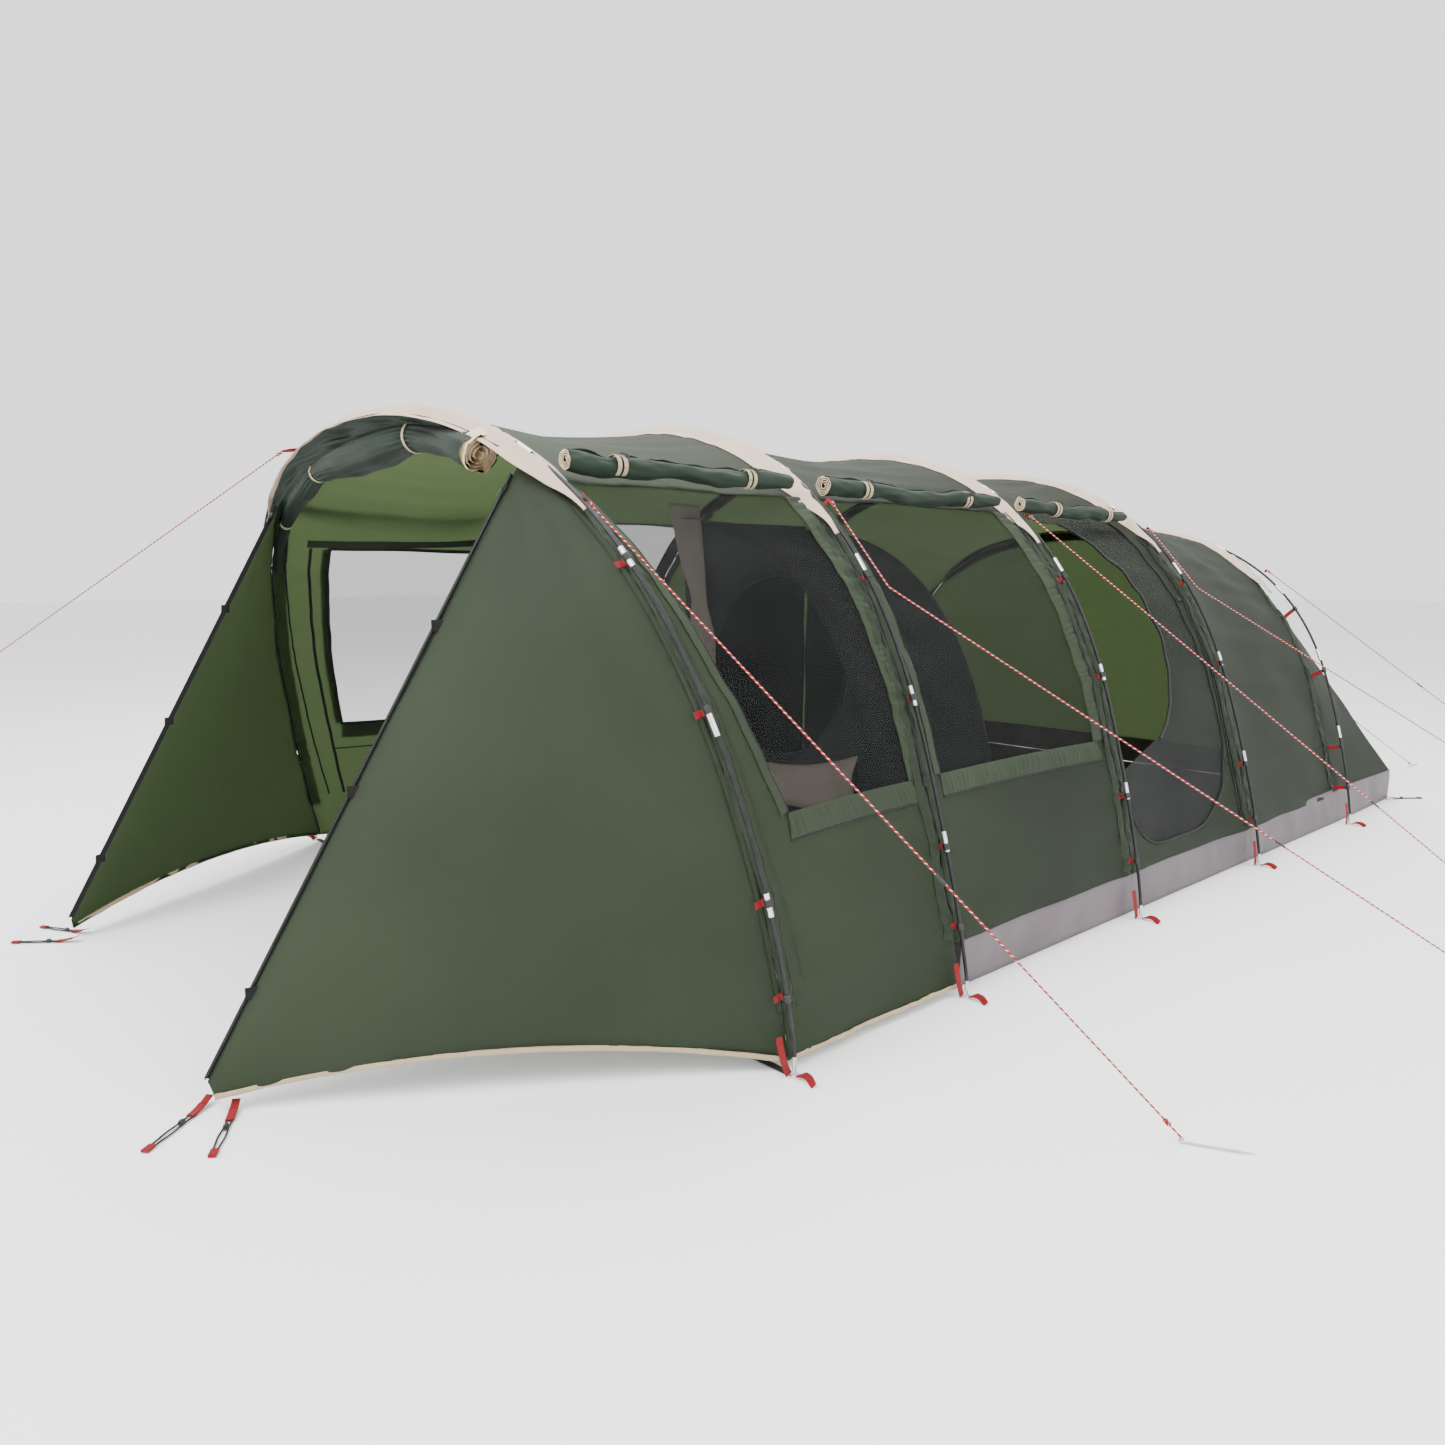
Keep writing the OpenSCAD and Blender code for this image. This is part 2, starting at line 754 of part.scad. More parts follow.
peg_r = 3;
peg_l = 170;
hook_r = 9;
// A hooked peg lying on the ground past the end of its guy
module peg(end, toward) {
    d = unit([end[0] - toward[0], end[1] - toward[1], 0]);
    translate([end[0], end[1], peg_r] + d * (peg_r + guy_r + 1))
        rotate(atan2(d[1], d[0])) {
            rotate([0, 90, 0]) cylinder(h = peg_l, r = peg_r);
            translate([0, hook_r, 0])
                rotate([0, 0, 90]) rotate_extrude(angle = 180) translate([hook_r, 0]) circle(r = peg_r);
        }
}

module guy_pegs() {
    routes = concat(
        [for (k = [1:5]) right_route(k)],
        [for (k = [1:5]) left_route(k)],
        [REAR_ROUTE, flip(REAR_ROUTE)]
    );
    color([0.6, 0.6, 0.62])
        for (r = routes) peg(r[2], r[1]);
}

pole_hoop(0);  // pole_hoop_1
pole_hoop(1);  // pole_hoop_2
pole_hoop(2);  // pole_hoop_3
pole_hoop(3);  // pole_hoop_4
pole_hoop(4);  // pole_hoop_5
pole_ferrules();
pole_end_tips();
foot_rings();
webbing_tabs();
front_base_strap();
pole_clips();
clip_tapes();
pole_sleeves();
front_wing();  // front_wing_right
mirror([1, 0, 0]) front_wing();  // front_wing_left
fly_bay(0);  // fly_bay_1
fly_bay(1);  // fly_bay_2
fly_bay(2);  // fly_bay_3
fly_bay(3);  // fly_bay_4
rear_panel();
groundsheet();
floor_skirt();
front_door_roll();
window_rolls();
side_door_roll();
roll_ties();
window_mesh();
side_door_mesh();
inner_cabin();
wing_zips();
side_door_zip();
zip_slider();  // zip_slider_right
mirror([1, 0, 0]) zip_slider();  // zip_slider_left
hem_tapes();
corner_elastics();
guy_pegs();
guy(right_route(1));  // guy_right_1
guy(right_route(2));  // guy_right_2
guy(right_route(3));  // guy_right_3
guy(right_route(4));  // guy_right_4
guy(right_route(5));  // guy_right_5
guy(left_route(1));  // guy_left_1
guy(left_route(2));  // guy_left_2
guy(left_route(3));  // guy_left_3
guy(left_route(4));  // guy_left_4
guy(left_route(5));  // guy_left_5
guy(REAR_ROUTE);  // guy_rear_right
guy(flip(REAR_ROUTE));  // guy_rear_left
runner(right_route(1), RUNNER_SHARE[0]);  // runner_right_1
runner(right_route(2), RUNNER_SHARE[1]);  // runner_right_2
runner(right_route(3), RUNNER_SHARE[2]);  // runner_right_3
runner(right_route(4), RUNNER_SHARE[3]);  // runner_right_4
runner(right_route(5), RUNNER_SHARE[4]);  // runner_right_5
runner(left_route(1), RUNNER_SHARE[0]);  // runner_left_1
runner(left_route(2), RUNNER_SHARE[1]);  // runner_left_2
runner(left_route(3), RUNNER_SHARE[2]);  // runner_left_3
runner(left_route(4), RUNNER_SHARE[3]);  // runner_left_4
runner(left_route(5), RUNNER_SHARE[4]);  // runner_left_5
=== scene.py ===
"""Looks of the tunnel tent: curved fabric, rolled doors, webbing, guys and materials round the CAD frame."""

import math

import bmesh
import bpy
import numpy as np
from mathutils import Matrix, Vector
from mathutils.geometry import delaunay_2d_cdt


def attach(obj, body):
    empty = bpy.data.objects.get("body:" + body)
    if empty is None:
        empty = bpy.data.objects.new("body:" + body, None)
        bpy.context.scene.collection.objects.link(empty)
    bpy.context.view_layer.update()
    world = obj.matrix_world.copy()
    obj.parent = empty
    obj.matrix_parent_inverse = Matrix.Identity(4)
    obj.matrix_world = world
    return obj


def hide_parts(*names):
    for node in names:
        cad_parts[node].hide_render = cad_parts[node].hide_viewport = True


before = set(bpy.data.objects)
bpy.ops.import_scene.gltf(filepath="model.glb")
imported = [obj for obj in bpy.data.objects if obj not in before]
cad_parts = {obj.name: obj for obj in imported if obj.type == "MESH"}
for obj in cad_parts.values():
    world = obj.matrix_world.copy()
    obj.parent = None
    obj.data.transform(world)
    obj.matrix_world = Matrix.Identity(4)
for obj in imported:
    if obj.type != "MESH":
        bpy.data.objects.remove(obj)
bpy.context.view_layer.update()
TENT = "tent"

# ---- Camera ----

CAMERA_AT = (3.74, -4.115, 1.43)
CAMERA_TURN = (81.8, 0.0, 47.9)
CAMERA_LENS = 25.71


def make_camera():
    data = bpy.data.cameras.new("camera")
    data.lens = CAMERA_LENS
    data.sensor_width = 36.0
    data.clip_end = 100.0
    camera = bpy.data.objects.new("camera", data)
    camera.location = CAMERA_AT
    camera.rotation_euler = [math.radians(a) for a in CAMERA_TURN]
    bpy.context.scene.collection.objects.link(camera)
    bpy.context.scene.camera = camera


make_camera()

# ---- Shape of the tent, in metres, as in the CAD part ----

TURN = 2 * math.pi
HOOP_Y = (-2.075, -1.245, -0.025, 1.185, 2.455)
HOOP_W = (1.8, 1.815, 1.83, 1.845, 1.86)
HOOP_H = (2.0, 2.02, 2.01, 1.98, 1.73)
HOOP_SLOPE = [math.tan(math.radians(a)) for a in (-11.6, -2.1, 1.3, -1.3, 9.0)]
FRONT_BOW = (0.070, 0.007, -0.011)
BOW = (0.028, -0.025, -0.012)
LAST = 4
FRONT_CORNER = (0.88, -3.425, 0.03)
REAR_CORNER = (1.78, 3.425)
SKIRT_H = 0.175
SEAM_Z = SKIRT_H + 0.006
HEM_Z = 0.03
CLIP_ANGLES = (7, 15, 30, 43)
SLEEVE_END = 50
POLE_R = 0.00635


def cosd(a):
    return np.cos(np.radians(a))


def sind(a):
    return np.sin(np.radians(a))


def unit(v):
    v = np.asarray(v, float)
    return v / np.maximum(np.linalg.norm(v, axis=-1, keepdims=True), 1e-12)


def smooth(x):
    x = np.clip(x, 0, 1)
    return x * x * (3 - 2 * x)


def lengths(path):
    """The distance along a path from its start to each of its points."""
    return np.concatenate([[0], np.cumsum(np.linalg.norm(np.diff(path, axis=0), axis=1))])


def lattice(a, b):
    return np.meshgrid(a, b, indexing="ij")


def spread(*arrays):
    """Arrays of matching shapes as one array of points."""
    return np.stack(np.broadcast_arrays(*arrays), -1)


def hoop(k, t, gap=0.0):
    """Points on hoop k at angles t, moved inwards by gap."""
    t = np.asarray(t, float)
    f = 90 - np.sqrt((t - 90) ** 2 + 16)
    c = FRONT_BOW if k == 0 else BOW
    r = 1 + c[0] * sind(2 * f) + c[1] * sind(4 * f) + c[2] * sind(6 * f)
    x, z = HOOP_W[k] * r * cosd(t), HOOP_H[k] * r * sind(t)
    nx, nz = x / HOOP_W[k] ** 2, z / HOOP_H[k] ** 2
    size = np.hypot(nx, nz)
    x, z = x - gap * nx / size, z - gap * nz / size
    return np.stack([x, HOOP_Y[k] + z * HOOP_SLOPE[k], z], -1)


def fold(t):
    return np.where(t <= 90, t, 180 - t)


def fly_gap(k, t):
    side = 0.075 if k == LAST else 0.028
    return 0.014 + (side - 0.014) * np.clip((64 - fold(t)) / 18, 0, 1)


def fly(k, u, t, inset=0.0):
    """Points on the fly between hoops k and k + 1."""
    u, t = np.broadcast_arrays(np.asarray(u, float), np.asarray(t, float))
    a = hoop(k, t, fly_gap(k, t) + inset)
    b = hoop(k + 1, t, fly_gap(k + 1, t) + inset)
    sag = 0.045 * 4 * u * (1 - u) * (0.35 + 0.65 * sind(t))
    n = np.stack([cosd(t), 0 * t, sind(t)], -1)
    return a + (b - a) * u[..., None] - sag[..., None] * n


def angle_at(k, z):
    t = np.arange(0, 60, 0.1)
    return np.interp(z, hoop(k, t)[:, 2], t)


ARC_T = np.arange(0, 180.01, 0.5)
ARC_S = [lengths(hoop(k, ARC_T)) for k in range(LAST + 1)]


def arc(k, t):
    return np.interp(t, ARC_T, ARC_S[k])


def angle(k, s):
    return np.interp(s, ARC_S[k], ARC_T)


RIPPLE_WAVES = 14


def ripple(p, scale, seed):
    """Smooth noise of unit strength over the points p, from plane waves about scale metres long."""
    rng = np.random.RandomState(seed)
    p = np.asarray(p, float)
    out = np.zeros(p.shape[:-1])
    for _ in range(RIPPLE_WAVES):
        way = unit(rng.normal(size=p.shape[-1]))
        wavelength = scale * rng.uniform(0.7, 1.5)
        out += np.sin((p @ way) * TURN / wavelength + rng.uniform(0, TURN))
    return out * math.sqrt(2 / RIPPLE_WAVES)


# ---- Materials ----


def rgb(*colour):
    """A linear colour from an sRGB one on a scale of 255."""
    linear = (((c / 255 + 0.055) / 1.055) ** 2.4 if c > 10 else c / 255 / 12.92 for c in colour)
    return (*linear, 1.0)


class Nodes:
    """A material's node tree, with short calls for the nodes used here."""

    def __init__(self, name, rough, **sockets):
        self.material = bpy.data.materials.new(name)
        self.material.use_nodes = True
        self.tree = self.material.node_tree
        self.shader = self.tree.nodes["Principled BSDF"]
        self.output = self.tree.nodes["Material Output"]
        self.shader.inputs["Roughness"].default_value = rough
        for key, value in sockets.items():
            self.shader.inputs[key.replace("_", " ")].default_value = value

    def add(self, kind, **properties):
        node = self.tree.nodes.new(kind)
        for key, value in properties.items():
            setattr(node, key, value)
        return node

    def put(self, socket, value):
        if isinstance(value, bpy.types.NodeSocket):
            self.tree.links.new(value, socket)
        else:
            socket.default_value = value

    def math(self, operation, a, b=0.0):
        node = self.add("ShaderNodeMath", operation=operation)
        self.put(node.inputs[0], a)
        self.put(node.inputs[1], b)
        return node.outputs[0]

    def mix(self, share, a, b):
        node = self.add("ShaderNodeMix", data_type="RGBA")
        self.put(node.inputs[0], share)
        self.put(node.inputs[6], a)
        self.put(node.inputs[7], b)
        return node.outputs[2]

    def noise(self, scale, detail=3.0, at=None):
        node = self.add("ShaderNodeTexNoise")
        node.inputs["Scale"].default_value = scale
        node.inputs["Detail"].default_value = detail
        self.put(node.inputs["Vector"], at or self.place())
        return node.outputs["Fac"]

    def ramp(self, value, low, high):
        node = self.add("ShaderNodeMapRange")
        node.inputs["From Min"].default_value = low
        node.inputs["From Max"].default_value = high
        self.put(node.inputs["Value"], value)
        return node.outputs["Result"]

    def place(self):
        return self.add("ShaderNodeTexCoord").outputs["Object"]

    def flat(self):
        """The cloth's own coordinates in metres."""
        node = self.add("ShaderNodeSeparateXYZ")
        self.put(node.inputs[0], self.add("ShaderNodeTexCoord").outputs["UV"])
        return node.outputs[0], node.outputs[1]

    def waves(self, value, pitch):
        return self.math("SINE", self.math("MULTIPLY", value, TURN / pitch))

    def weave(self, pitch):
        u, v = self.flat()
        return self.math("MULTIPLY", self.waves(u, pitch), self.waves(v, pitch))

    def bump(self, height, distance, strength=1.0):
        node = self.add("ShaderNodeBump")
        node.inputs["Distance"].default_value = distance
        node.inputs["Strength"].default_value = strength
        self.put(node.inputs["Height"], height)
        self.put(self.shader.inputs["Normal"], node.outputs[0])

    def colour(self, value):
        self.put(self.shader.inputs["Base Color"], value)

    def lit_through(self, share, colour):
        """Lets light from the other side of the cloth show."""
        back = self.add("ShaderNodeBsdfTranslucent")
        back.inputs["Color"].default_value = colour
        both = self.add("ShaderNodeMixShader")
        both.inputs[0].default_value = share
        self.tree.links.new(self.shader.outputs[0], both.inputs[1])
        self.tree.links.new(back.outputs[0], both.inputs[2])
        self.tree.links.new(both.outputs[0], self.output.inputs["Surface"])


def cloth(name, base, worn, rough, share=0.0, through=None, pitch=0.0016, ripstop=0.0):
    """Woven cloth: two tones in soft patches, a fine weave, creases and, for thin cloth, light from behind."""
    m = Nodes(name, rough, Sheen_Weight=0.03, Sheen_Roughness=0.5, Specular_IOR_Level=0.14)
    patches = m.ramp(m.noise(1.7, 4.0), 0.38, 0.66)
    threads = m.math("MULTIPLY", m.noise(340.0, 2.0), 0.22)
    tone = m.math("ADD", m.math("MULTIPLY", patches, 0.78), threads)
    m.colour(m.mix(tone, base, worn))
    height = m.math("MULTIPLY", m.weave(pitch), 0.25)
    if ripstop:
        u, v = m.flat()
        squares = m.math("MAXIMUM", m.waves(u, ripstop), m.waves(v, ripstop))
        raised = m.math("POWER", m.math("MAXIMUM", squares, 0.0), 12.0)
        height = m.math("ADD", height, m.math("MULTIPLY", raised, 0.5))
    wide = m.math("MULTIPLY", m.noise(9.0, 4.0), 6.0)
    creases = m.math("ADD", wide, m.math("MULTIPLY", m.noise(38.0, 3.0), 1.4))
    m.bump(m.math("ADD", height, creases), 0.0005, 0.8)
    if through:
        m.lit_through(share, through)
    return m.material


def webbing(name, base, dark, pitch=0.0022):
    """Ribbed strap with a twill weave."""
    m = Nodes(name, 0.7, Sheen_Weight=0.06, Specular_IOR_Level=0.2)
    u, v = m.flat()
    twill = m.waves(m.math("ADD", u, v), pitch * 1.4)
    tone = m.math("ADD", m.math("MULTIPLY", twill, 0.5), m.noise(60.0))
    m.colour(m.mix(m.ramp(tone, -0.2, 1.1), base, dark))
    m.bump(m.math("ADD", m.waves(u, pitch), twill), 0.0004, 0.9)
    return m.material


def moulded(name, base, rough, **sockets):
    """Moulded plastic with a fine grain and slightly paler patches."""
    m = Nodes(name, rough, **sockets)
    pale = (*(min(1.0, c * 1.7 + 0.006) for c in base[:3]), 1.0)
    m.colour(m.mix(m.ramp(m.noise(30.0), 0.3, 0.7), base, pale))
    m.bump(m.noise(420.0), 0.0002, 0.6)
    return m.material


def metal(name, base, rough):
    """Drawn metal with fine lines along it and duller patches."""
    m = Nodes(name, rough, Metallic=1.0)
    stretch = m.add("ShaderNodeMapping")
    stretch.inputs["Scale"].default_value = (30.0, 30.0, 900.0)
    m.put(stretch.inputs["Vector"], m.place())
    lines = m.noise(1.0, 2.0, stretch.outputs[0])
    dull = (*(c * 0.72 for c in base[:3]), 1.0)
    m.colour(m.mix(m.ramp(m.noise(40.0), 0.35, 0.75), base, dull))
    uneven = m.math("ADD", m.math("MULTIPLY", lines, 0.18), rough - 0.09)
    m.put(m.shader.inputs["Roughness"], uneven)
    m.bump(lines, 0.0001, 0.5)
    return m.material


FLECK_PITCH, STRAND_PITCH = 0.019, 0.004


def braid(name, base, fleck):
    """Braided cord with pale flecks that wind round it. UV holds the length and the turn."""
    m = Nodes(name, 0.6, Sheen_Weight=0.08, Specular_IOR_Level=0.25)
    u, v = m.flat()
    turn = m.math("FRACT", m.math("ADD", m.math("DIVIDE", u, FLECK_PITCH), v))
    m.colour(m.mix(m.math("GREATER_THAN", turn, 0.78), base, fleck))
    strands = m.waves(m.math("ADD", u, m.math("MULTIPLY", v, STRAND_PITCH)), STRAND_PITCH)
    m.bump(strands, 0.0005, 0.8)
    return m.material


def netting(name, base, paler, alpha):
    """Insect mesh: the threads share the surface with open holes."""
    m = Nodes(name, 0.75, Specular_IOR_Level=0.15, Alpha=alpha)
    tone = m.ramp(m.noise(3.0, 2.0), 0.3, 0.7)
    m.colour(m.mix(tone, base, paler))
    m.bump(m.noise(400.0, 1.0), 0.0001, 0.4)
    return m.material


RIPSTOP, COARSE_RIPSTOP, COARSE_WEAVE = 0.009, 0.012, 0.0024
FLY_GLOW, FLY_IN_GLOW = rgb(162, 174, 154), rgb(150, 168, 126)
WING_IN_GLOW, FLAP_GLOW = rgb(134, 154, 112), rgb(150, 166, 138)

GREEN = cloth("fly_outer", rgb(38, 45, 35), rgb(45, 52, 41), 0.55, 0.42, FLY_GLOW, ripstop=RIPSTOP)
GREEN_IN = cloth("fly_inner", rgb(56, 70, 46), rgb(63, 78, 52), 0.6, 0.66, FLY_IN_GLOW, ripstop=RIPSTOP)
WING = cloth("wing_outer", rgb(43, 51, 39), rgb(50, 58, 45), 0.55, 0.32, FLY_GLOW, ripstop=RIPSTOP)
WING_IN = cloth("wing_inner", rgb(40, 53, 34), rgb(46, 60, 39), 0.62, 0.5, WING_IN_GLOW, ripstop=RIPSTOP)
PUCKER = cloth("storm_flap", rgb(44, 54, 39), rgb(52, 62, 46), 0.56, 0.2, FLAP_GLOW)
FLANGE = cloth("hoop_flange", rgb(36, 45, 33), rgb(44, 53, 40), 0.56, 0.2, FLAP_GLOW)
FLAP = cloth("rolled_cloth", rgb(27, 39, 29), rgb(37, 50, 39), 0.62)
DOOR = cloth("rolled_door", rgb(24, 36, 29), rgb(32, 45, 37), 0.5, 0.1, rgb(80, 110, 84))
CREAM = cloth("sleeve_cloth", rgb(198, 178, 158), rgb(210, 192, 174), 0.66, 0.15, rgb(225, 205, 180))
LINING = cloth("roll_lining", rgb(206, 184, 150), rgb(220, 200, 168), 0.7)
SKIRT = cloth(
    "skirt_cloth", rgb(88, 81, 85), rgb(104, 96, 100), 0.42, pitch=COARSE_WEAVE, ripstop=COARSE_RIPSTOP
)
FLOOR = cloth(
    "floor_cloth", rgb(78, 73, 75), rgb(94, 88, 90), 0.45, pitch=COARSE_WEAVE, ripstop=COARSE_RIPSTOP
)
CABIN = cloth("cabin_cloth", rgb(28, 30, 30), rgb(36, 38, 37), 0.8, 0.1, rgb(60, 68, 62))
BROWN = cloth("cabin_strip", rgb(124, 113, 105), rgb(140, 129, 120), 0.75, 0.15, rgb(140, 130, 120))
MESH = netting("window_netting", rgb(18, 20, 20), rgb(26, 28, 28), 0.3)
DOOR_MESH = netting("door_netting", rgb(32, 34, 33), rgb(42, 44, 43), 0.62)
RED = webbing("red_webbing", rgb(150, 4, 14), rgb(112, 2, 9))
BLACK = webbing("black_webbing", rgb(20, 20, 21), rgb(10, 10, 11))
TIE = webbing("cream_tape", rgb(204, 184, 152), rgb(176, 156, 126), 0.0018)
ZIP = webbing("zip_tape", rgb(22, 24, 23), rgb(9, 10, 10), 0.0025)
# Dark piping along the seams; the same cloth also makes the band of painted shade inside the front room
PIPING_AND_SHADE = cloth("seam_piping_and_painted_shade", rgb(30, 36, 28), rgb(44, 52, 40), 0.7)
ROD = moulded("fibreglass_rod", rgb(13, 13, 14), 0.42, Specular_IOR_Level=0.3)
CLIP = moulded("clip_plastic", rgb(17, 17, 18), 0.5)
PLATED = metal("plated_steel", (0.80, 0.80, 0.82, 1.0), 0.32)
PEG_STEEL = metal("peg_steel", (0.62, 0.62, 0.64, 1.0), 0.42)
SLIDER = moulded("slider_enamel", rgb(24, 24, 25), 0.35, Coat_Weight=0.5)
SHOCK = webbing("shock_cord", rgb(22, 22, 24), rgb(48, 48, 50), 0.0016)
GUY = braid("guy_braid", rgb(146, 6, 20), rgb(226, 206, 202))

# ---- Mesh tools ----

CLOTH_T = 0.0012
THIN_CLOTH_T = 0.001
NETTING_T = 0.0006
WEBBING_T = 0.0018
FOOT_WEBBING_W = 0.022


def new_object(name, vertices, faces, materials, uv=None, indices=None):
    mesh = bpy.data.meshes.new(name)
    mesh.from_pydata([tuple(v) for v in vertices], [], [tuple(f) for f in faces])
    if uv is not None:
        layer = mesh.uv_layers.new(name="cloth")
        loops = np.zeros(len(mesh.loops), np.int32)
        mesh.loops.foreach_get("vertex_index", loops)
        layer.data.foreach_set("uv", np.asarray(uv, np.float32)[loops].ravel())
    for m in materials if isinstance(materials, list) else [materials]:
        mesh.materials.append(m)
    if indices is not None:
        mesh.polygons.foreach_set("material_index", np.asarray(indices, np.int32))
    mesh.polygons.foreach_set("use_smooth", np.ones(len(mesh.polygons), bool))
    mesh.update()
    obj = bpy.data.objects.new(name, mesh)
    bpy.context.scene.collection.objects.link(obj)
    return obj


def apply(obj):
    """Applies every modifier on obj."""
    graph = bpy.context.evaluated_depsgraph_get()
    mesh = bpy.data.meshes.new_from_object(obj.evaluated_get(graph))
    obj.modifiers.clear()
    obj.data = mesh
    return obj


def thicken(obj, thickness, offset=-1.0, inner=None):
    if inner is not None:
        obj.data.materials.append(inner)
    solid = obj.modifiers.new("solid", "SOLIDIFY")
    solid.thickness = thickness
    solid.offset = offset
    solid.use_quality_normals = True
    if inner is not None:
        solid.material_offset = len(obj.data.materials) - 1
    return apply(obj)


def grid_faces(rows, columns, close=False):
    """The faces of a grid of points; close joins the last column to the first."""
    faces = []
    for i in range(rows - 1):
        for j in range(columns if close else columns - 1):
            a, b = i * columns + j, i * columns + (j + 1) % columns
            faces.append((a, b, b + columns, a + columns))
    return faces


def ring_faces(rings, sides, caps=True):
    """The faces of a row of rings, with a cap at both ends."""
    faces = grid_faces(rings, sides, close=True)
    if caps:
        last = (rings - 1) * sides
        faces += [tuple(range(sides)), tuple(last + j for j in reversed(range(sides)))]
    return faces


MIDDLE_LINE = (0, 0, 0.6)


def grid(points):
    """Vertices, faces and cloth coordinates in metres of a grid of points."""
    points = np.asarray(points, float)
    rows, columns = points.shape[:2]
    uv = spread(lengths(points[rows // 2])[None, :], lengths(points[:, columns // 2])[:, None])
    return points.reshape(-1, 3), grid_faces(rows, columns), uv.reshape(-1, 2)


def outwards(vertices, faces, centre=None):
    """Turns the faces so that they face away from centre, or else from the tent's middle line."""
    faces = np.asarray(faces)
    v = vertices[faces]
    n = np.cross(v[:, 1] - v[:, 0], v[:, 2] - v[:, 0])
    away = v.mean(1) - np.array(centre or MIDDLE_LINE)
    if centre is None:
        away[:, 1] = 0
    return faces if (n * away).sum() > 0 else faces[:, ::-1]


def outward_grid(points, centre=None):
    vertices, faces, uv = grid(points)
    return vertices, outwards(vertices, faces, centre), uv


def outward_panel(name, points, material, inner=None, thickness=CLOTH_T, centre=None):
    """A sheet whose first material faces outwards and whose thickness goes inwards."""
    vertices, faces, uv = outward_grid(points, centre)
    return thicken(new_object(name, vertices, faces, material, uv), thickness, -1.0, inner)


def sheet_from_grid(name, points, material, thickness=CLOTH_T, offset=-1.0):
    vertices, faces, uv = grid(points)
    return thicken(new_object(name, vertices, faces, material, uv), thickness, offset)


def frames(path):
    """Directions along and across a path, turned as little as possible."""
    path = np.asarray(path, float)
    along = unit(np.gradient(path, axis=0))
    first = np.array([0.0, 0.0, 1.0]) if abs(along[0][2]) < 0.9 else np.array([0.0, 1.0, 0.0])
    across = [unit(first - (first @ along[0]) * along[0])]
    for a in along[1:]:
        across.append(unit(across[-1] - (across[-1] @ a) * a))
    across = np.array(across)
    return along, across, np.cross(along, across)


def tube_mesh(path, radius, sides=12, caps=True):
    """A closed tube; radius is one number or one for each point."""
    path = np.asarray(path, float)
    _, a, b = frames(path)
    turn = np.arange(sides) / sides * TURN
    radius = np.broadcast_to(np.asarray(radius, float).reshape(-1, 1), (len(path), sides))
    ring = a[:, None] * np.cos(turn)[None, :, None] + b[:, None] * np.sin(turn)[None, :, None]
    vertices = (path[:, None] + ring * radius[..., None]).reshape(-1, 3)
    uv = spread(lengths(path)[:, None], (turn / TURN)[None, :]).reshape(-1, 2)
    return vertices, ring_faces(len(path), sides, caps), uv


def tube(name, path, radius, material, sides=12):
    vertices, faces, uv = tube_mesh(path, radius, sides)
    return new_object(name, vertices, faces, material, uv)


# A strap's section with cut corners, as shares of its width and its thickness
RIBBON_CORNERS = (
    (-0.5, -0.4),
    (-0.42, -0.5),
    (0.42, -0.5),
    (0.5, -0.4),
    (0.5, 0.4),
    (0.42, 0.5),
    (-0.42, 0.5),
    (-0.5, 0.4),
)


def ribbon_mesh(path, side, width, thickness):
    """A flat strap along a path; side is the direction of its width at each point."""
    path = np.asarray(path, float)
    side = unit(np.broadcast_to(np.asarray(side, float), path.shape))
    along = unit(np.gradient(path, axis=0))
    side = unit(side - (side * along).sum(-1, keepdims=True) * along)
    up = np.cross(along, side)
    edges = [path + side * (width * a) + up * (thickness * b) for a, b in RIBBON_CORNERS]
    uv = [spread(lengths(path), width * a) for a, _ in RIBBON_CORNERS]
    faces = [tuple(reversed(f)) for f in ring_faces(len(path), len(RIBBON_CORNERS))]
    return np.stack(edges, 1).reshape(-1, 3), faces, np.stack(uv, 1).reshape(-1, 2)


class Batch:
    """Collects meshes into one object."""

    def __init__(self):
        self.vertices, self.faces, self.uv, self.index, self.count = [], [], [], [], 0

    def add(self, made, index=0):
        vertices, faces, uv = made
        self.vertices.append(np.asarray(vertices, float).reshape(-1, 3))
        self.uv.append(np.asarray(uv, float).reshape(-1, 2))
        self.faces += [tuple(i + self.count for i in f) for f in faces]
        self.index += [index] * len(faces)
        self.count += len(self.vertices[-1])

    def object(self, name, materials):
        vertices, uv = np.concatenate(self.vertices), np.concatenate(self.uv)
        return new_object(name, vertices, self.faces, materials, uv, self.index)


def inside(points, loop):
    """Whether each 2-D point is inside a closed loop."""
    a, b = np.asarray(loop, float), np.roll(np.asarray(loop, float), -1, axis=0)
    hit = np.zeros(len(points), bool)
    for (ax, ay), (bx, by) in zip(a, b):
        crosses = (ay > points[:, 1]) != (by > points[:, 1])
        with np.errstate(divide="ignore", invalid="ignore"):
            at = ax + (points[:, 1] - ay) * (bx - ax) / (by - ay)
        hit ^= crosses & (points[:, 0] < at)
    return hit


def dense(loop, step):
    """The loop's corners with points between them, at most step apart."""
    out = []
    loop = np.asarray(loop, float)
    for a, b in zip(loop, np.roll(loop, -1, axis=0)):
        n = max(1, int(math.ceil(np.linalg.norm(b - a) / step)))
        out += [a + (b - a) * i / n for i in range(n)]
    return np.array(out)


def near_loop(points, loop, reach):
    best = np.full(len(points), 1e9)
    for p in loop:
        best = np.minimum(best, ((points - p) ** 2).sum(-1))
    return best < reach * reach


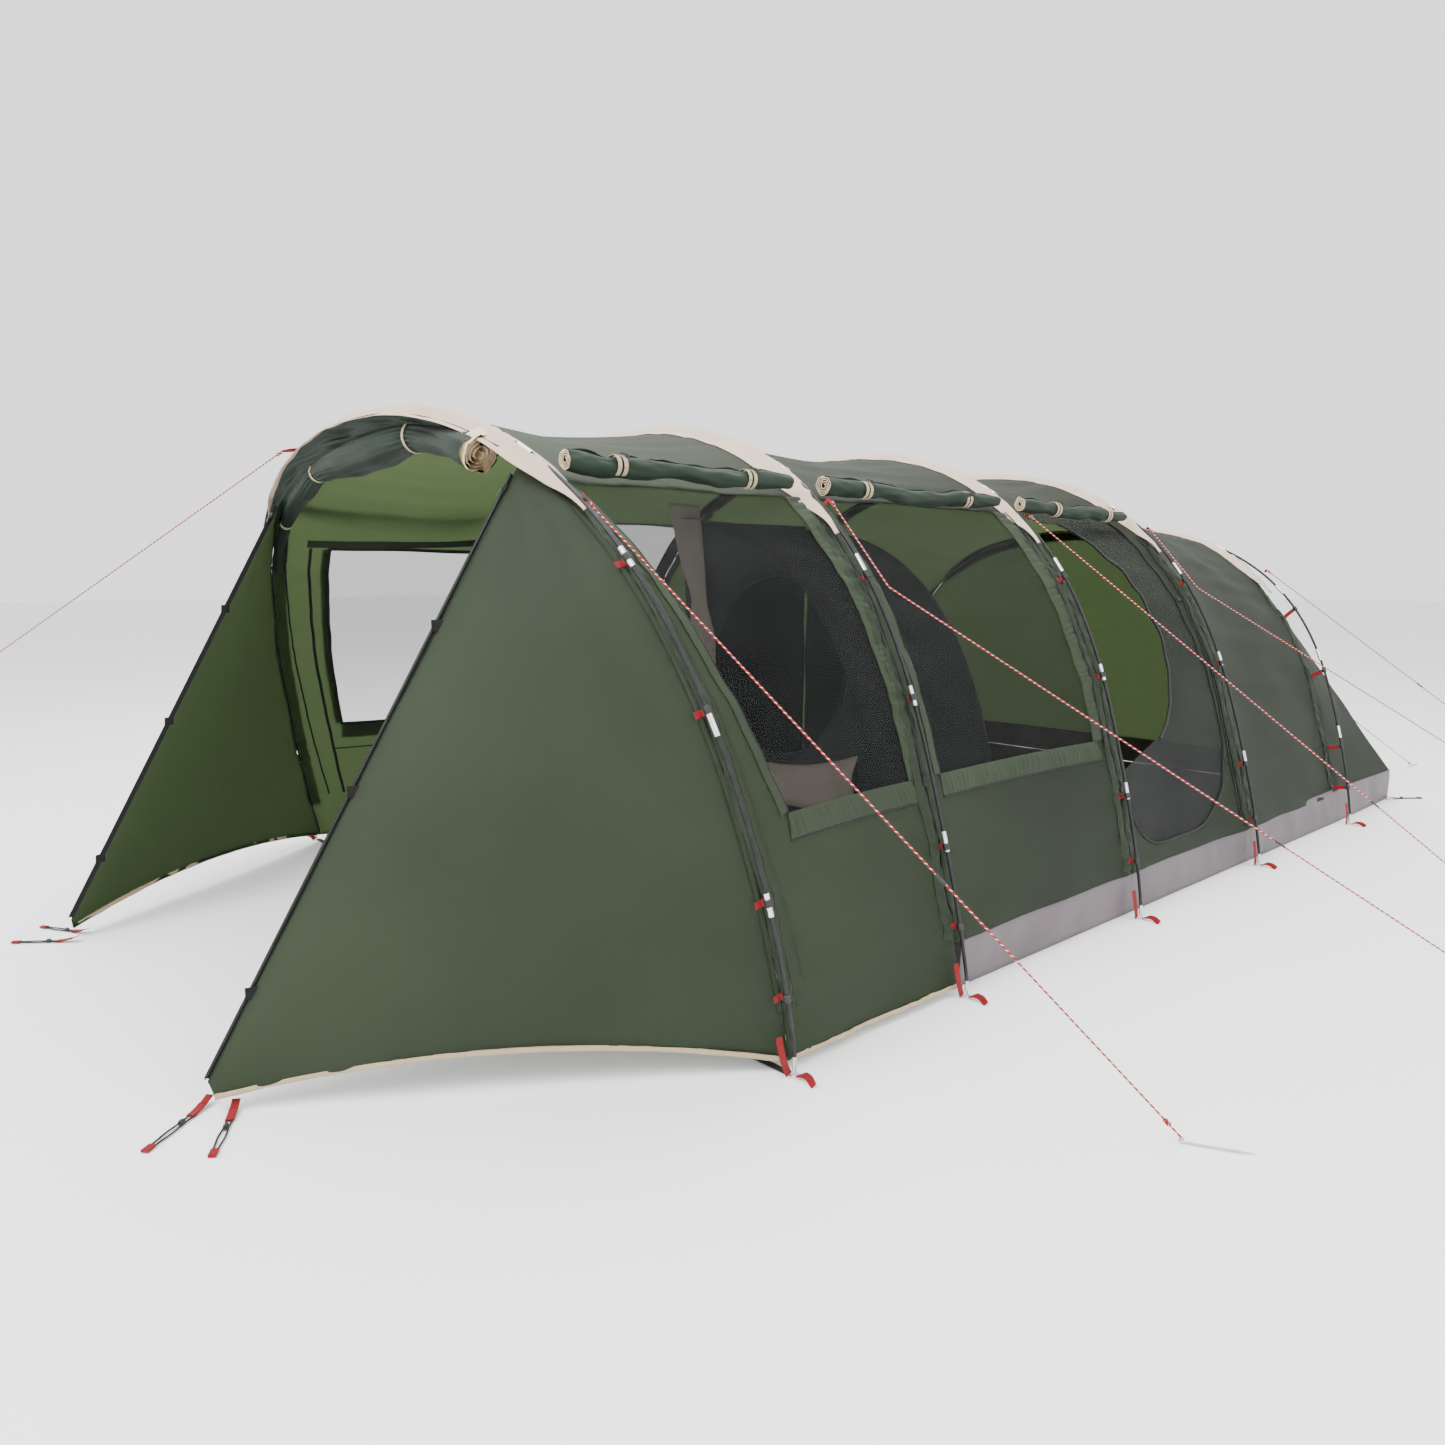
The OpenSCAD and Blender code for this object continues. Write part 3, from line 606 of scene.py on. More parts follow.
def cut_cloth(outline, holes, step):
    """Triangles over a flat outline with holes, on an even lattice."""
    loops = [dense(l, step) for l in [outline, *holes]]
    low, high = loops[0].min(0), loops[0].max(0)
    xs, ys = np.arange(low[0], high[0], step), np.arange(low[1], high[1], step * 0.866)
    x, y = np.meshgrid(xs, ys)
    x = x + (np.arange(len(ys)) % 2 * step / 2)[:, None]
    inner = np.stack([x.ravel(), y.ravel()], -1)

    def on_cloth(points):
        return inside(points, loops[0]) & ~np.any([inside(points, l) for l in loops[1:]], axis=0)

    inner = inner[on_cloth(inner) & ~np.any([near_loop(inner, l, step * 0.55) for l in loops], axis=0)]
    edges, start = [], 0
    for l in loops:
        edges += [(start + i, start + (i + 1) % len(l)) for i in range(len(l))]
        start += len(l)
    points = np.concatenate([*loops, inner])
    made = delaunay_2d_cdt([Vector(p) for p in points], edges, [], 0, 1e-7)
    points = np.array([tuple(p) for p in made[0]])
    faces = np.array([tuple(f) for f in made[2]])
    return points, faces[on_cloth(points[faces].mean(1))]


def finish_piece(obj, nodes=(), body=TENT):
    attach(obj, body)
    if nodes:
        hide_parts(*nodes)
    return obj


def finish_sheet(obj, nodes):
    """Finishes a sheet; works out its cut's width and length from its cloth coordinates and one side's area,
    but keeps none of them.
    """
    finish_piece(obj, nodes)
    layer = obj.data.uv_layers[0].data
    uv = np.zeros(len(layer) * 2, np.float32)
    layer.foreach_get("uv", uv)
    width, length = (float(x) for x in np.round(np.ptp(uv.reshape(-1, 2), axis=0), 2))
    area = sum(p.area for p in obj.data.polygons) / 2
    if area > width * length:
        area = None
    elif area < 0.3 * width * length:
        area = 0.31 * width * length
    area = None if area is None else round(area, 3)


# ---- Guy lines ----

ROUTES = (
    ((1.262, -2.396, 1.637), (1.57, -2.23, 1.292), (2.71, -1.615, 0.014)),
    ((1.19, -1.29, 1.695), (1.45, -1.27, 1.385), (3.14, 0.005, 0.014)),
    ((1.195, 0.01, 1.69), (1.635, 0.24, 1.271), (2.955, 0.93, 0.014)),
    ((1.2, 1.14, 1.665), (1.46, 1.165, 1.36), (2.98, 2.825, 0.014)),
    ((1.215, 2.69, 1.454), (1.615, 2.91, 1.094), (2.815, 3.57, 0.014)),
)
LEFT_FRONT_ROUTE = ((-0.68, -2.545, 1.926), (-1.41, -3.028, 1.448), (-3.6, -4.477, 0.014))
REAR_ROUTE = ((1.56, 3.185, 0.558), (1.558, 3.595, 0.422), (1.552, 4.825, 0.014))
GUY_R = 0.0027


def flip(route):
    return tuple((-x, y, z) for x, y, z in route)


def coil(at, along, radius, turns, wire):
    """A few close turns round a point, as in a knot."""
    along = unit(along)
    a = unit(np.cross(along, (0.3, 0.2, 1.0)))
    b = np.cross(along, a)
    w = np.linspace(0, turns * TURN, int(turns * 12))[:, None]
    round_it = radius * (a * np.cos(w) + b * np.sin(w))
    path = np.asarray(at) + round_it + along * (w / w[-1] - 0.5) * turns * wire * 2.1
    return tube_mesh(path, wire, 8)


def make_guy(name, route):
    a, b, c = (np.array(p) for p in route)
    upper = a + (b - a) * np.linspace(0, 1, 8)[:, None]
    lower = b + (c - b) * np.linspace(0, 1, 24)[1:, None]
    path = np.concatenate([upper, lower])
    guy = tube(name + "_line", path, GUY_R, GUY, 10)
    knots = Batch()
    knots.add(coil(a + unit(b - a) * 0.02, b - a, GUY_R * 1.6, 3.5, GUY_R))
    knots.add(coil(c + unit(b - c) * 0.05, b - c, GUY_R * 1.6, 3.5, GUY_R))
    knot = finish_piece(knots.object(name + "_knots", GUY))
    finish_piece(guy, [name])


GUYS = {f"guy_right_{k + 1}": ROUTES[k] for k in range(5)}
GUYS |= {f"guy_left_{k + 1}": flip(ROUTES[k]) if k else LEFT_FRONT_ROUTE for k in range(5)}
GUYS |= {"guy_rear_right": REAR_ROUTE, "guy_rear_left": flip(REAR_ROUTE)}
for guy_name, guy_route in GUYS.items():
    make_guy(guy_name, guy_route)


def make_pegs():
    batch = Batch()
    for a, b, c in GUYS.values():
        d = unit([c[0] - b[0], c[1] - b[1], 0.0])
        side = np.array([-d[1], d[0], 0.0])
        base = np.array([c[0], c[1], 0.0032]) + d * 0.006
        w = np.radians(np.linspace(80, 270, 16))[:, None]
        hook = base + 0.009 * np.cos(w) * d + (0.009 + 0.009 * np.sin(w)) * side
        shaft = base + np.linspace(0.01, 0.17, 14)[:, None] * d
        radius = np.concatenate([np.full(27, 0.003), [0.0022, 0.0014, 0.0005]])
        batch.add(tube_mesh(np.concatenate([hook, shaft]), radius, 12))
    finish_piece(batch.object("pegs", PEG_STEEL), ["guy_pegs"])


make_pegs()

# ---- Poles, clips and straps ----

POLE_FOOT_Z = 0.06


def make_poles():
    for k in range(LAST + 1):
        t0 = angle_at(k, POLE_FOOT_Z)
        pole = tube(f"pole_{k + 1}", hoop(k, np.linspace(t0, 180 - t0, 140)), POLE_R, ROD, 16)
        finish_piece(pole, [f"pole_hoop_{k + 1}"])


def lathe(at, along, profile, sides=20):
    """A round shape on an axis; profile holds (radius, distance along)."""
    along = unit(along)
    a = unit(np.cross(along, (0.2, 0.1, 1.0)))
    b = np.cross(along, a)
    w = (np.arange(sides) / sides * TURN)[:, None]
    rings = [np.asarray(at) + along * h + r * (a * np.cos(w) + b * np.sin(w)) for r, h in profile]
    uv = spread(np.array([h for _, h in profile])[:, None], w[:, 0][None] * 0.01)
    last = (len(profile) - 1) * sides
    caps = [tuple(reversed(range(sides))), tuple(last + j for j in range(sides))]
    return np.concatenate(rings), grid_faces(len(profile), sides, close=True) + caps, uv.reshape(-1, 2)


def tangent(k, t):
    return unit(hoop(k, t + 0.5) - hoop(k, t - 0.5))


def inwards(k, t):
    return unit(hoop(k, t, 0.01) - hoop(k, t))


CLIP_PROFILE = [(0.0085, -0.012), (0.0104, -0.011)]
for i in range(5):
    low = -0.0102 + i * 0.0042
    CLIP_PROFILE += [(0.0112, low), (0.0112, low + 0.0021)]
    CLIP_PROFILE += [(0.0101, low + 0.0026), (0.0101, low + 0.0037)]
CLIP_PROFILE += [(0.0104, 0.011), (0.0085, 0.012)]


CLIP_PLACES = [a for c in CLIP_ANGLES for a in (c, 180 - c)]


def make_clips():
    clips, tapes = Batch(), Batch()
    for k in range(LAST + 1):
        for t in CLIP_PLACES:
            at, along, n = hoop(k, t), tangent(k, t), inwards(k, t)
            side = np.cross(along, n)
            clips.add(lathe(at, along, CLIP_PROFILE))
            lug = at + n * np.array([0.009, 0.013, 0.017])[:, None]
            clips.add(ribbon_mesh(lug, along, 0.014, 0.006))
            clips.add(tube_mesh(at + n * 0.0165 + along * np.linspace(-0.011, 0.011, 6)[:, None], 0.0026, 8))
            depth = float(fly_gap(k, t))
            reach = np.linspace(0.014, depth + 0.004, 6)[:, None]
            bow = np.sin(np.linspace(0, math.pi, 6))[:, None] * 0.002
            for s in (-1, 1):
                path = at + n * reach + side * (s * (0.0015 + bow))
                tapes.add(ribbon_mesh(path, along, 0.02, 0.0011))
            base = at + n * (depth - 0.002)
            tapes.add(ribbon_mesh(base + side * np.linspace(-0.028, 0.028, 8)[:, None], along, 0.021, 0.0014))
    finish_piece(clips.object("clips", CLIP), ["pole_clips"])
    finish_piece(tapes.object("clip_loops", RED), ["clip_tapes"])


make_poles()
make_clips()


def foot(k):
    p = hoop(k, angle_at(k, POLE_FOOT_Z))
    return np.array([p[0], p[1], 0.0])


CORNERS = (
    (FRONT_CORNER[0] - 0.02, FRONT_CORNER[1] + 0.02, -52),
    (FRONT_CORNER[0] + 0.06, FRONT_CORNER[1] + 0.075, -30),
    (REAR_CORNER[0] + 0.014, REAR_CORNER[1] - 0.02, 52),
)
MIRROR = np.array([-1.0, 1.0, 1.0])
SIDES = (("right", False), ("left", True))


def flipped(made):
    vertices, faces, uv = made
    return np.asarray(vertices) * MIRROR, [tuple(reversed(f)) for f in faces], uv


def on_both_sides(batch, made, index=0):
    batch.add(made, index)
    batch.add(flipped(made), index)


def on_ground(along, across, up):
    """Points in a corner's own directions."""
    return spread(np.asarray(along, float), across, up)


def make_feet():
    rings, straps = Batch(), Batch()
    for k in range(LAST + 1):
        f = foot(k)
        w = np.linspace(0, TURN, 33)[:, None]
        ring = f + [0, 0, 0.0026] + 0.013 * (np.cos(w) * [1, 0, 0] + np.sin(w) * [0, 1, 0])
        on_both_sides(rings, tube_mesh(ring, 0.002, 10, caps=False))
        # A tail that twists as it leaves the ring, doubled where it is sewn
        s = np.linspace(0, 1, 18)[:, None]
        tail = f + [0.015, 0, 0.004] + s * [0.072, -0.012, 0] + np.sin(s * math.pi) * [0, 0.006, 0.012]
        turn = s * 1.1
        side = np.cos(turn) * [0.1, 1, 0] + np.sin(turn) * [0, 0, 1]
        on_both_sides(straps, ribbon_mesh(tail, side, FOOT_WEBBING_W, WEBBING_T))
        doubled = tail[:8] + [0, 0, 0.0022]
        on_both_sides(straps, ribbon_mesh(doubled, side[:8], FOOT_WEBBING_W, WEBBING_T))
        # The riser comes up from the ring to the seam above the skirt
        v = np.linspace(0, 1, 16)[:, None]
        riser = f + [-0.010, -0.012, 0.004] + v * [0.004, -0.046, 0] * (2 - v) + v * [0, 0, 0.128]
        riser = riser + np.sin(v * math.pi) * [0.006, 0, 0]
        on_both_sides(straps, ribbon_mesh(riser, (0.1, 1.0, 0.35), FOOT_WEBBING_W, WEBBING_T))
    make_corners(straps)
    finish_piece(rings.object("rings", PLATED), ["foot_rings"])
    finish_piece(straps.object("foot_straps", RED), ["webbing_tabs"])


def make_corners(straps):
    """Webbing tabs and shock cord loops at the wings' and the rear corners."""
    cords, tips = Batch(), Batch()
    for x, y, a in CORNERS:
        c, s = math.cos(math.radians(a)), math.sin(math.radians(a))
        turn = np.array([[c, s, 0], [-s, c, 0], [0, 0, 1]])
        across = (-s, c, 0)

        def place(p):
            return np.asarray(p, float) @ turn + [x, y, 0]

        tab = on_ground(np.linspace(-0.03, 0.052, 12), 0.0, 0.004 + 0.02 * np.linspace(1, 0, 12) ** 2)
        on_both_sides(straps, ribbon_mesh(place(tab), across, FOOT_WEBBING_W, WEBBING_T))
        doubled = tab[4:] + [0, 0, 0.003]
        on_both_sides(straps, ribbon_mesh(place(doubled), across, FOOT_WEBBING_W, WEBBING_T))
        line = np.linspace(0.04, 0.2, 10)
        end = np.radians(np.linspace(-90, 90, 12))
        half = 0.0075 + 0.0015 * np.sin(line * 60)
        bend = on_ground(0.203 + 0.008 * np.cos(end), 0.0075 * np.sin(end), 0.0)
        loop = np.concatenate([on_ground(line, -half, 0.0), bend, on_ground(line, half, 0.0)[::-1]])
        on_both_sides(cords, tube_mesh(place(loop + [0, 0, 0.0032]), 0.0026, 10))
        grip = place(on_ground(np.linspace(0.192, 0.222, 8), 0.0, 0.0044))
        on_both_sides(tips, ribbon_mesh(grip, across, 0.02, 0.0075))
        toggle = place([(0.085 + d, 0, 0.0064) for d in (-0.009, -0.006, 0.0, 0.006, 0.009)])
        on_both_sides(cords, tube_mesh(toggle, np.array([0.005, 0.0075, 0.0085, 0.0075, 0.005]), 14), 1)
    finish_piece(cords.object("corner_loops", [SHOCK, CLIP]), ["corner_elastics"])
    finish_piece(tips.object("loop_grips", RED))


def make_base_strap():
    f = foot(0)
    x = np.linspace(-f[0] + 0.017, f[0] - 0.017, 160)
    lift = 0.0026 + 0.0022 * (1 + np.sin(x * 7)) * np.sin((x / f[0] + 1) * math.pi / 2)
    path = np.stack([x, f[1] + 0.006 * np.sin(x * 3.1), lift], -1)
    vertices, faces, uv = ribbon_mesh(path, (0, 1, 0), 0.025, WEBBING_T)
    strap = new_object("base_strap", vertices, faces, BLACK, uv)
    finish_piece(strap, ["front_base_strap"])


make_feet()
make_base_strap()
for name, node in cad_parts.items():
    if name.startswith("runner_"):
        node.data.materials[0] = CLIP
    elif name in ("pole_ferrules", "pole_end_tips"):
        node.data.materials[0] = PLATED

# ---- Fly ----

TABLE_T = np.arange(0, 89, 0.25)
SCALLOP = ((0, 3, 7, 11, 15, 22, 30, 36, 43, 47, 52), (0.2, 0.5, 0, 0.8, 0, 1, 0, 1, 0, 0.7, 0))
SCALLOP_DEPTH = 0.013
WINDOW_LOW, WINDOW_HIGH = 0.74, 1.7
WINDOW_FRONT, WINDOW_REAR = 0.07, 0.11
WIDE_WINDOW = (0.64, 1.545)


def locate(k, y, z):
    """The share u and the angle t at which the right side of bay k passes through y and z."""
    y, z = (np.ravel(a).astype(float) for a in np.broadcast_arrays(y, z))
    u = np.full(len(z), 0.5)
    for _ in range(5):
        heights = fly(k, u[:, None], TABLE_T[None])[..., 2]
        i = np.clip((heights < z[:, None]).sum(1), 1, len(TABLE_T) - 1)
        rows = np.arange(len(z))
        low, high = heights[rows, i - 1], heights[rows, i]
        t = TABLE_T[i - 1] + (z - low) / (high - low) * 0.25
        here, there = fly(k, u, t)[:, 1], fly(k, u + 0.01, t)[:, 1]
        u = u + (y - here) * 0.01 / (there - here)
    return u, t


def bay_length(k):
    return HOOP_Y[k + 1] - HOOP_Y[k]


def flat_side(k, outline, left=False):
    """A [y, z] outline on a side wall as flat coordinates of bay k's cloth."""
    outline = dense(outline, 0.03)
    u, t = locate(k, outline[:, 0], outline[:, 1])
    return np.stack([u * bay_length(k), arc(k, 180 - t if left else t)], -1)


def scallop(t):
    """How far the cloth's edge draws in between the clips."""
    return SCALLOP_DEPTH * np.interp(fold(t), *SCALLOP)


def window_outline(k, grow=0.0, left=False):
    """Corners of a side window as [y, z]; the front one on the left has a wider frame."""
    a, b = HOOP_SLOPE[k], HOOP_SLOPE[k + 1]
    wide = k == 0 and left
    y0, y1 = HOOP_Y[k] + WINDOW_FRONT - grow, HOOP_Y[k + 1] - WINDOW_REAR + grow
    low, high = WIDE_WINDOW if wide else (WINDOW_LOW, WINDOW_HIGH)
    low, high = low - grow, high + grow
    if wide:
        y0 += 0.185
    return [(y0 + low * a if wide else y0, low), (y1, low), (y1 + high * b, high), (y0 + high * a, high)]


DOOR_LEFT, DOOR_RIGHT = HOOP_Y[2] + 0.09, HOOP_Y[3] - 0.13


def arc_points(centre, radii, start, end, step):
    """Points on an arc as [y, z], between two angles in degrees."""
    angles = np.radians(np.arange(start, end + 1, step))
    return [(centre[0] + radii[0] * math.cos(a), centre[1] + radii[1] * math.sin(a)) for a in angles]


def door_outline(grow=0.0):
    left, right, low, high, r = DOOR_LEFT, DOOR_RIGHT, 0.26, 1.72, 0.42
    heel = arc_points((left + 0.26, low + 0.2), (0.26 + grow, 0.2 + grow), 180, 270, 10)
    toe = arc_points((right - r, low + r), (r + grow, r + grow), 270, 360, 10)
    return heel + toe + [(right - 0.06 + grow, high + grow), (left - grow, high + grow)]


def leaf_arc(grow=0.0):
    return arc_points((DOOR_LEFT + 0.12, 1.18), (0.56 + grow, 0.56 + grow), -60, 60, 5)


def leaf_outline():
    return [(DOOR_LEFT + 0.02, 0.6), *leaf_arc(), (DOOR_LEFT + 0.02, 1.7)]


def dress(k, u, t):
    """How far the cloth of bay k lies inside its smooth shape: scallops, waves and creases at the hoops."""
    length, s = bay_length(k), arc(k, t)
    p = np.stack([u * length, s], -1)
    edge = np.minimum(u, 1 - u) * length
    inset = scallop(t) * np.exp(-edge / 0.11)
    free = 1 - np.exp(-edge / 0.08)
    inset = inset + 0.0045 * ripple(p, 0.9, 11 + k) * free
    inset = inset + 0.0028 * ripple(p * (0.6, 1.6), 0.3, 31 + k) * free
    gathers = np.sin(s * TURN / 0.075 + 2.5 * ripple(p, 0.25, 51 + k))
    inset = inset + 0.0032 * gathers * np.exp(-edge / 0.06) * np.clip(ripple(p, 0.2, 71 + k), 0, 1.4)
    for clip in CLIP_ANGLES:
        for a, x in ((clip, 0.0), (clip, length), (180 - clip, 0.0), (180 - clip, length)):
            dx, ds = p[..., 0] - x, s - arc(k, a)
            d, way = np.hypot(dx, ds), np.arctan2(ds, dx)
            inset = inset + 0.004 * np.cos(5 * way + clip) * np.exp(-((d - 0.045) ** 2) / 0.0016)
    return inset


def dressed(k, u, t, inset=0.0):
    """Points on the cloth of bay k as it hangs."""
    return fly(k, u, t, dress(k, u, t) + inset)


def bay_bottom(k):
    return HEM_Z if k == 0 else SEAM_Z


def bay_patch(name, k, outline, holes, step, inset, materials, thickness):
    """A piece of bay k's cloth cut to an outline in flat coordinates."""
    flat, faces = cut_cloth(outline, holes, step)
    points = dressed(k, flat[:, 0] / bay_length(k), angle(k, flat[:, 1]), inset)
    patch = new_object(name, points, outwards(points, faces), materials[0], flat)
    return thicken(patch, thickness, -1.0, materials[1])


def make_bays():
    for k in range(LAST):
        t0, length = angle_at(k, bay_bottom(k)), bay_length(k)
        low, high = arc(k, t0), arc(k, 180 - t0)
        outline = [(0.003, low), (length - 0.003, low), (length - 0.003, high), (0.003, high)]
        holes = []
        if k < 2:
            holes = [flat_side(k, window_outline(k, 0.0, left), left) for left in (False, True)]
        if k == 2:
            holes = [flat_side(k, door_outline())]
        bay = bay_patch(f"bay_{k + 1}", k, outline, holes, 0.02, 0.0, (GREEN, GREEN_IN), CLOTH_T)
        finish_sheet(bay, [f"fly_bay_{k + 1}"])


make_bays()


def make_netting(name, node, k, outline, holes, step, material):
    mesh = bay_patch(name, k, outline, holes, step, 0.003, (material, material), NETTING_T)
    finish_sheet(mesh, [node])


def make_meshes():
    for side, left in SIDES:
        for k in (0, 1):
            outline = flat_side(k, window_outline(k, 0.012, left), left)
            make_netting(f"window_mesh_{side}_{k + 1}", "window_mesh", k, outline, [], 0.022, MESH)
    outline, hole = flat_side(2, door_outline(0.01)), flat_side(2, leaf_outline())
    make_netting("door_mesh", "side_door_mesh", 2, outline, [hole], 0.016, DOOR_MESH)


make_meshes()


def wall_points(k, y, z, left=False, out=0.0):
    """Points on a side wall of bay k, a distance out from the dressed cloth."""
    u, t = locate(k, y, z)
    t = 180 - t if left else t
    return fly(k, u, t, dress(k, u, t) - out).reshape(np.shape(np.broadcast_arrays(y, z)[0]) + (3,))


def gathered(batch, k, low_edge, high_edge, left, pitch):
    """A band of gathered cloth on a side wall, between two [y, z] edges."""
    low_edge, high_edge = np.asarray(low_edge, float), np.asarray(high_edge, float)
    length = lengths(low_edge)[-1]
    n = max(12, int(length / 0.0045))
    share, v = np.linspace(0, 1, n), np.linspace(0, 1, 11)
    low, high = (
        np.stack([np.interp(share, np.linspace(0, 1, len(e)), e[:, i]) for i in (0, 1)], -1)
        for e in (low_edge, high_edge)
    )
    p = low[:, None] + (high - low)[:, None] * v[None, :, None]
    slant = 2.2 * np.interp(v, [0, 1], [0, 0.7])
    phase = (share * length)[:, None] * TURN / pitch + slant + 1.6 * ripple(p, 0.16, 7 + k)
    folds = np.abs(np.sin(phase / 2)) ** 0.7 * (np.sin(math.pi * v) ** 0.6)[None]
    out = 0.0022 + 0.006 * folds * (0.55 + 0.45 * np.clip(ripple(p, 0.12, 17 + k), -1, 1))
    points = wall_points(k, p[..., 0].ravel(), p[..., 1].ravel(), left, out.ravel())
    batch.add(outward_grid(points.reshape(n, 11, 3)))


def wall_line(batch, k, line, left, width, out, index, thick=0.002):
    """A tape laid on a side wall along a [y, z] line."""
    line = np.asarray(line, float)
    s = lengths(line)
    at = np.linspace(0, s[-1], max(4, int(s[-1] / 0.012)))
    p = np.stack([np.interp(at, s, line[:, i]) for i in (0, 1)], -1)
    along = unit(np.gradient(p, axis=0))
    across = np.stack([-along[:, 1], along[:, 0]], -1) * width / 2
    low, mid, high = (wall_points(k, e[:, 0], e[:, 1], left, out) for e in (p - across, p, p + across))
    batch.add(ribbon_mesh(mid, high - low, width, thick), index)


def make_window_trim():
    bands, lines = Batch(), Batch()
    drop, back = np.array([0, -0.078]), np.array([0.074, 0.0])
    for _, left in SIDES:
        for k in (0, 1):
            a, b, c, d = (np.array(p) for p in window_outline(k, 0.0, left))
            gathered(bands, k, [a + drop, b + drop + back * 0.6], [a, b + back * 0.2], left, 0.028)
            z = np.linspace(0, 1, 20)[:, None]
            front, rear_side = a + (d - a) * z, b + (c - b) * z
            gathered(bands, k, rear_side + back, rear_side, left, 0.026)
            wall_line(lines, k, front - [0.016, 0], left, 0.034, 0.0035, 1, 0.0018)
            wall_line(lines, k, rear_side + back + [0.004, 0], left, 0.009, 0.005, 0, 0.004)
            wall_line(lines, k, front + [0.002, 0], left, 0.005, 0.004, 0)
            wall_line(lines, k, [a + drop - [0.0, 0.002], b + drop + back], left, 0.005, 0.003, 0)
            end = b + back + [0.004, -0.03]
            wall_line(lines, k, [end, end + [0.004, 0.045]], left, 0.02, 0.009, 0, 0.003)
    bands = bands.object("window_bands", PUCKER)
    finish_piece(thicken(bands, THIN_CLOTH_T))
    finish_piece(lines.object("window_edges", [ZIP, PUCKER]))


make_window_trim()


def make_inner_seams_and_painted_shade():
    """Dark seams on the inside of the front room's walls, and a dark band of painted shade on the left wall
    below the window roll.
    """
    seams = Batch()
    for _, left in SIDES:
        wall_line(seams, 0, [(-2.02, 0.25), (-2.123, 0.667), (-2.346, 1.60)], left, 0.008, -0.005, 0, 0.003)
        if left:
            wall_line(seams, 0, [(-1.94, 0.25), (-2.014, 0.60), (-2.228, 1.55)], left, 0.014, -0.005, 0, 0.003)
            # Painted shade: a dark band on the wall below the window roll, in the piping cloth
            wall_line(seams, 0, [(-2.25, 1.572), (-1.8, 1.572), (-1.33, 1.60)], left, 0.045, -0.007, 1)
            wall_line(seams, 0, [(-2.0, 0.50), (-1.3, 0.50)], left, 0.006, -0.005, 0, 0.003)
            for e in (0.007, 0.0):
                line = window_outline(0, e, True)
                wall_line(seams, 0, [*line, line[0]], left, 0.008, -0.004 - e / 10, 0, 0.003)
        t = np.linspace(angle_at(0, 0.05), 60, 90)
        seam = hoop(0, 180 - t if left else t, 0.034 + scallop(t)) + [0, 0.004, 0]
        seams.add(tube_mesh(seam, 0.0035, 6), 0)
    finish_piece(seams.object("inner_seams_and_painted_shade", [ZIP, PIPING_AND_SHADE]))


make_inner_seams_and_painted_shade()


def make_door_trim():
    lines = Batch()
    wall_line(lines, 2, leaf_arc(0.006), False, 0.017, 0.004, 0, 0.004)
    wall_line(lines, 2, door_outline(0.006)[:-1], False, 0.008, 0.004, 0, 0.003)
    z = np.linspace(0.24, 1.62, 30)
    for y in (DOOR_RIGHT + 0.035, DOOR_RIGHT + 0.06):
        wall_line(lines, 2, spread(y, z), False, 0.006, 0.004, 0, 0.003)
    for y, z in ((DOOR_RIGHT - 0.005, 1.3), (DOOR_RIGHT + 0.04, 0.95)):
        wall_line(lines, 2, [(y - 0.02, z), (y + 0.02, z + 0.003)], False, 0.024, 0.009, 0, 0.003)
    finish_piece(lines.object("door_zip", ZIP), ["side_door_zip"])


make_door_trim()

# ---- Wings, rear panel, skirt and floor ----


WING_TOP = 58
WING_REACH = 1.6


def wing(u, t, inset=0.0):
    """Points on the right wing, from the front corner at u = 0 to the first hoop at u = 1."""
    u, t = np.broadcast_arrays(np.asarray(u, float), np.asarray(t, float))
    corner = np.array(FRONT_CORNER)
    point = corner + (hoop(0, t, 0.029) - corner) * u[..., None]
    point[..., 2] += 0.09 * 4 * u * (1 - u) * (1 - np.clip(t / WING_TOP, 0, 1)) ** 4
    return point - np.broadcast_to(inset, u.shape)[..., None] * unit([1.35, -0.92, 0.0])


def make_wings():
    t0 = angle_at(0, HEM_Z)
    u, t = lattice(np.linspace(0.03, 1.0, 76), np.linspace(t0, WING_TOP, 84))
    p = wing(u, t)
    flat = p[..., 1:]
    inset = 0.004 * ripple(flat, 0.9, 5) * np.sin(math.pi * np.clip(u, 0, 1)) ** 0.5
    # Long soft folds fan out from the top of the wing
    down, back = p[..., 2] - 1.75, p[..., 1] + 2.45
    way, far = np.arctan2(down, back), np.hypot(down, back)
    fan = np.sin(way * 22 + 1.3 * ripple(flat, 0.6, 9))
    inset += 0.007 * fan * np.exp(-far / 0.7) * np.clip(far / 0.15, 0, 1)
    # The clips pull at the edge along the hoop and gather it
    from_hoop = (1 - u) * WING_REACH
    inset += scallop(t) * np.exp(-from_hoop / 0.12)
    gathers = np.sin(arc(0, t) * TURN / 0.05 + 2.0 * ripple(flat, 0.3, 3))
    inset += 0.004 * gathers * np.exp(-from_hoop / 0.1) * np.clip(ripple(flat, 0.25, 4), 0, 1.5)
    inset += 0.004 * np.sin(u * 9) * np.exp(-(t - t0) / 4)
    points = wing(u, t, inset)
    for side, rows in (("right", points), ("left", points[:, ::-1] * MIRROR)):
        panel = outward_panel(f"wing_{side}", rows, WING, WING_IN)
        finish_sheet(panel, [f"front_wing_{side}"])


REAR_TURN = 50


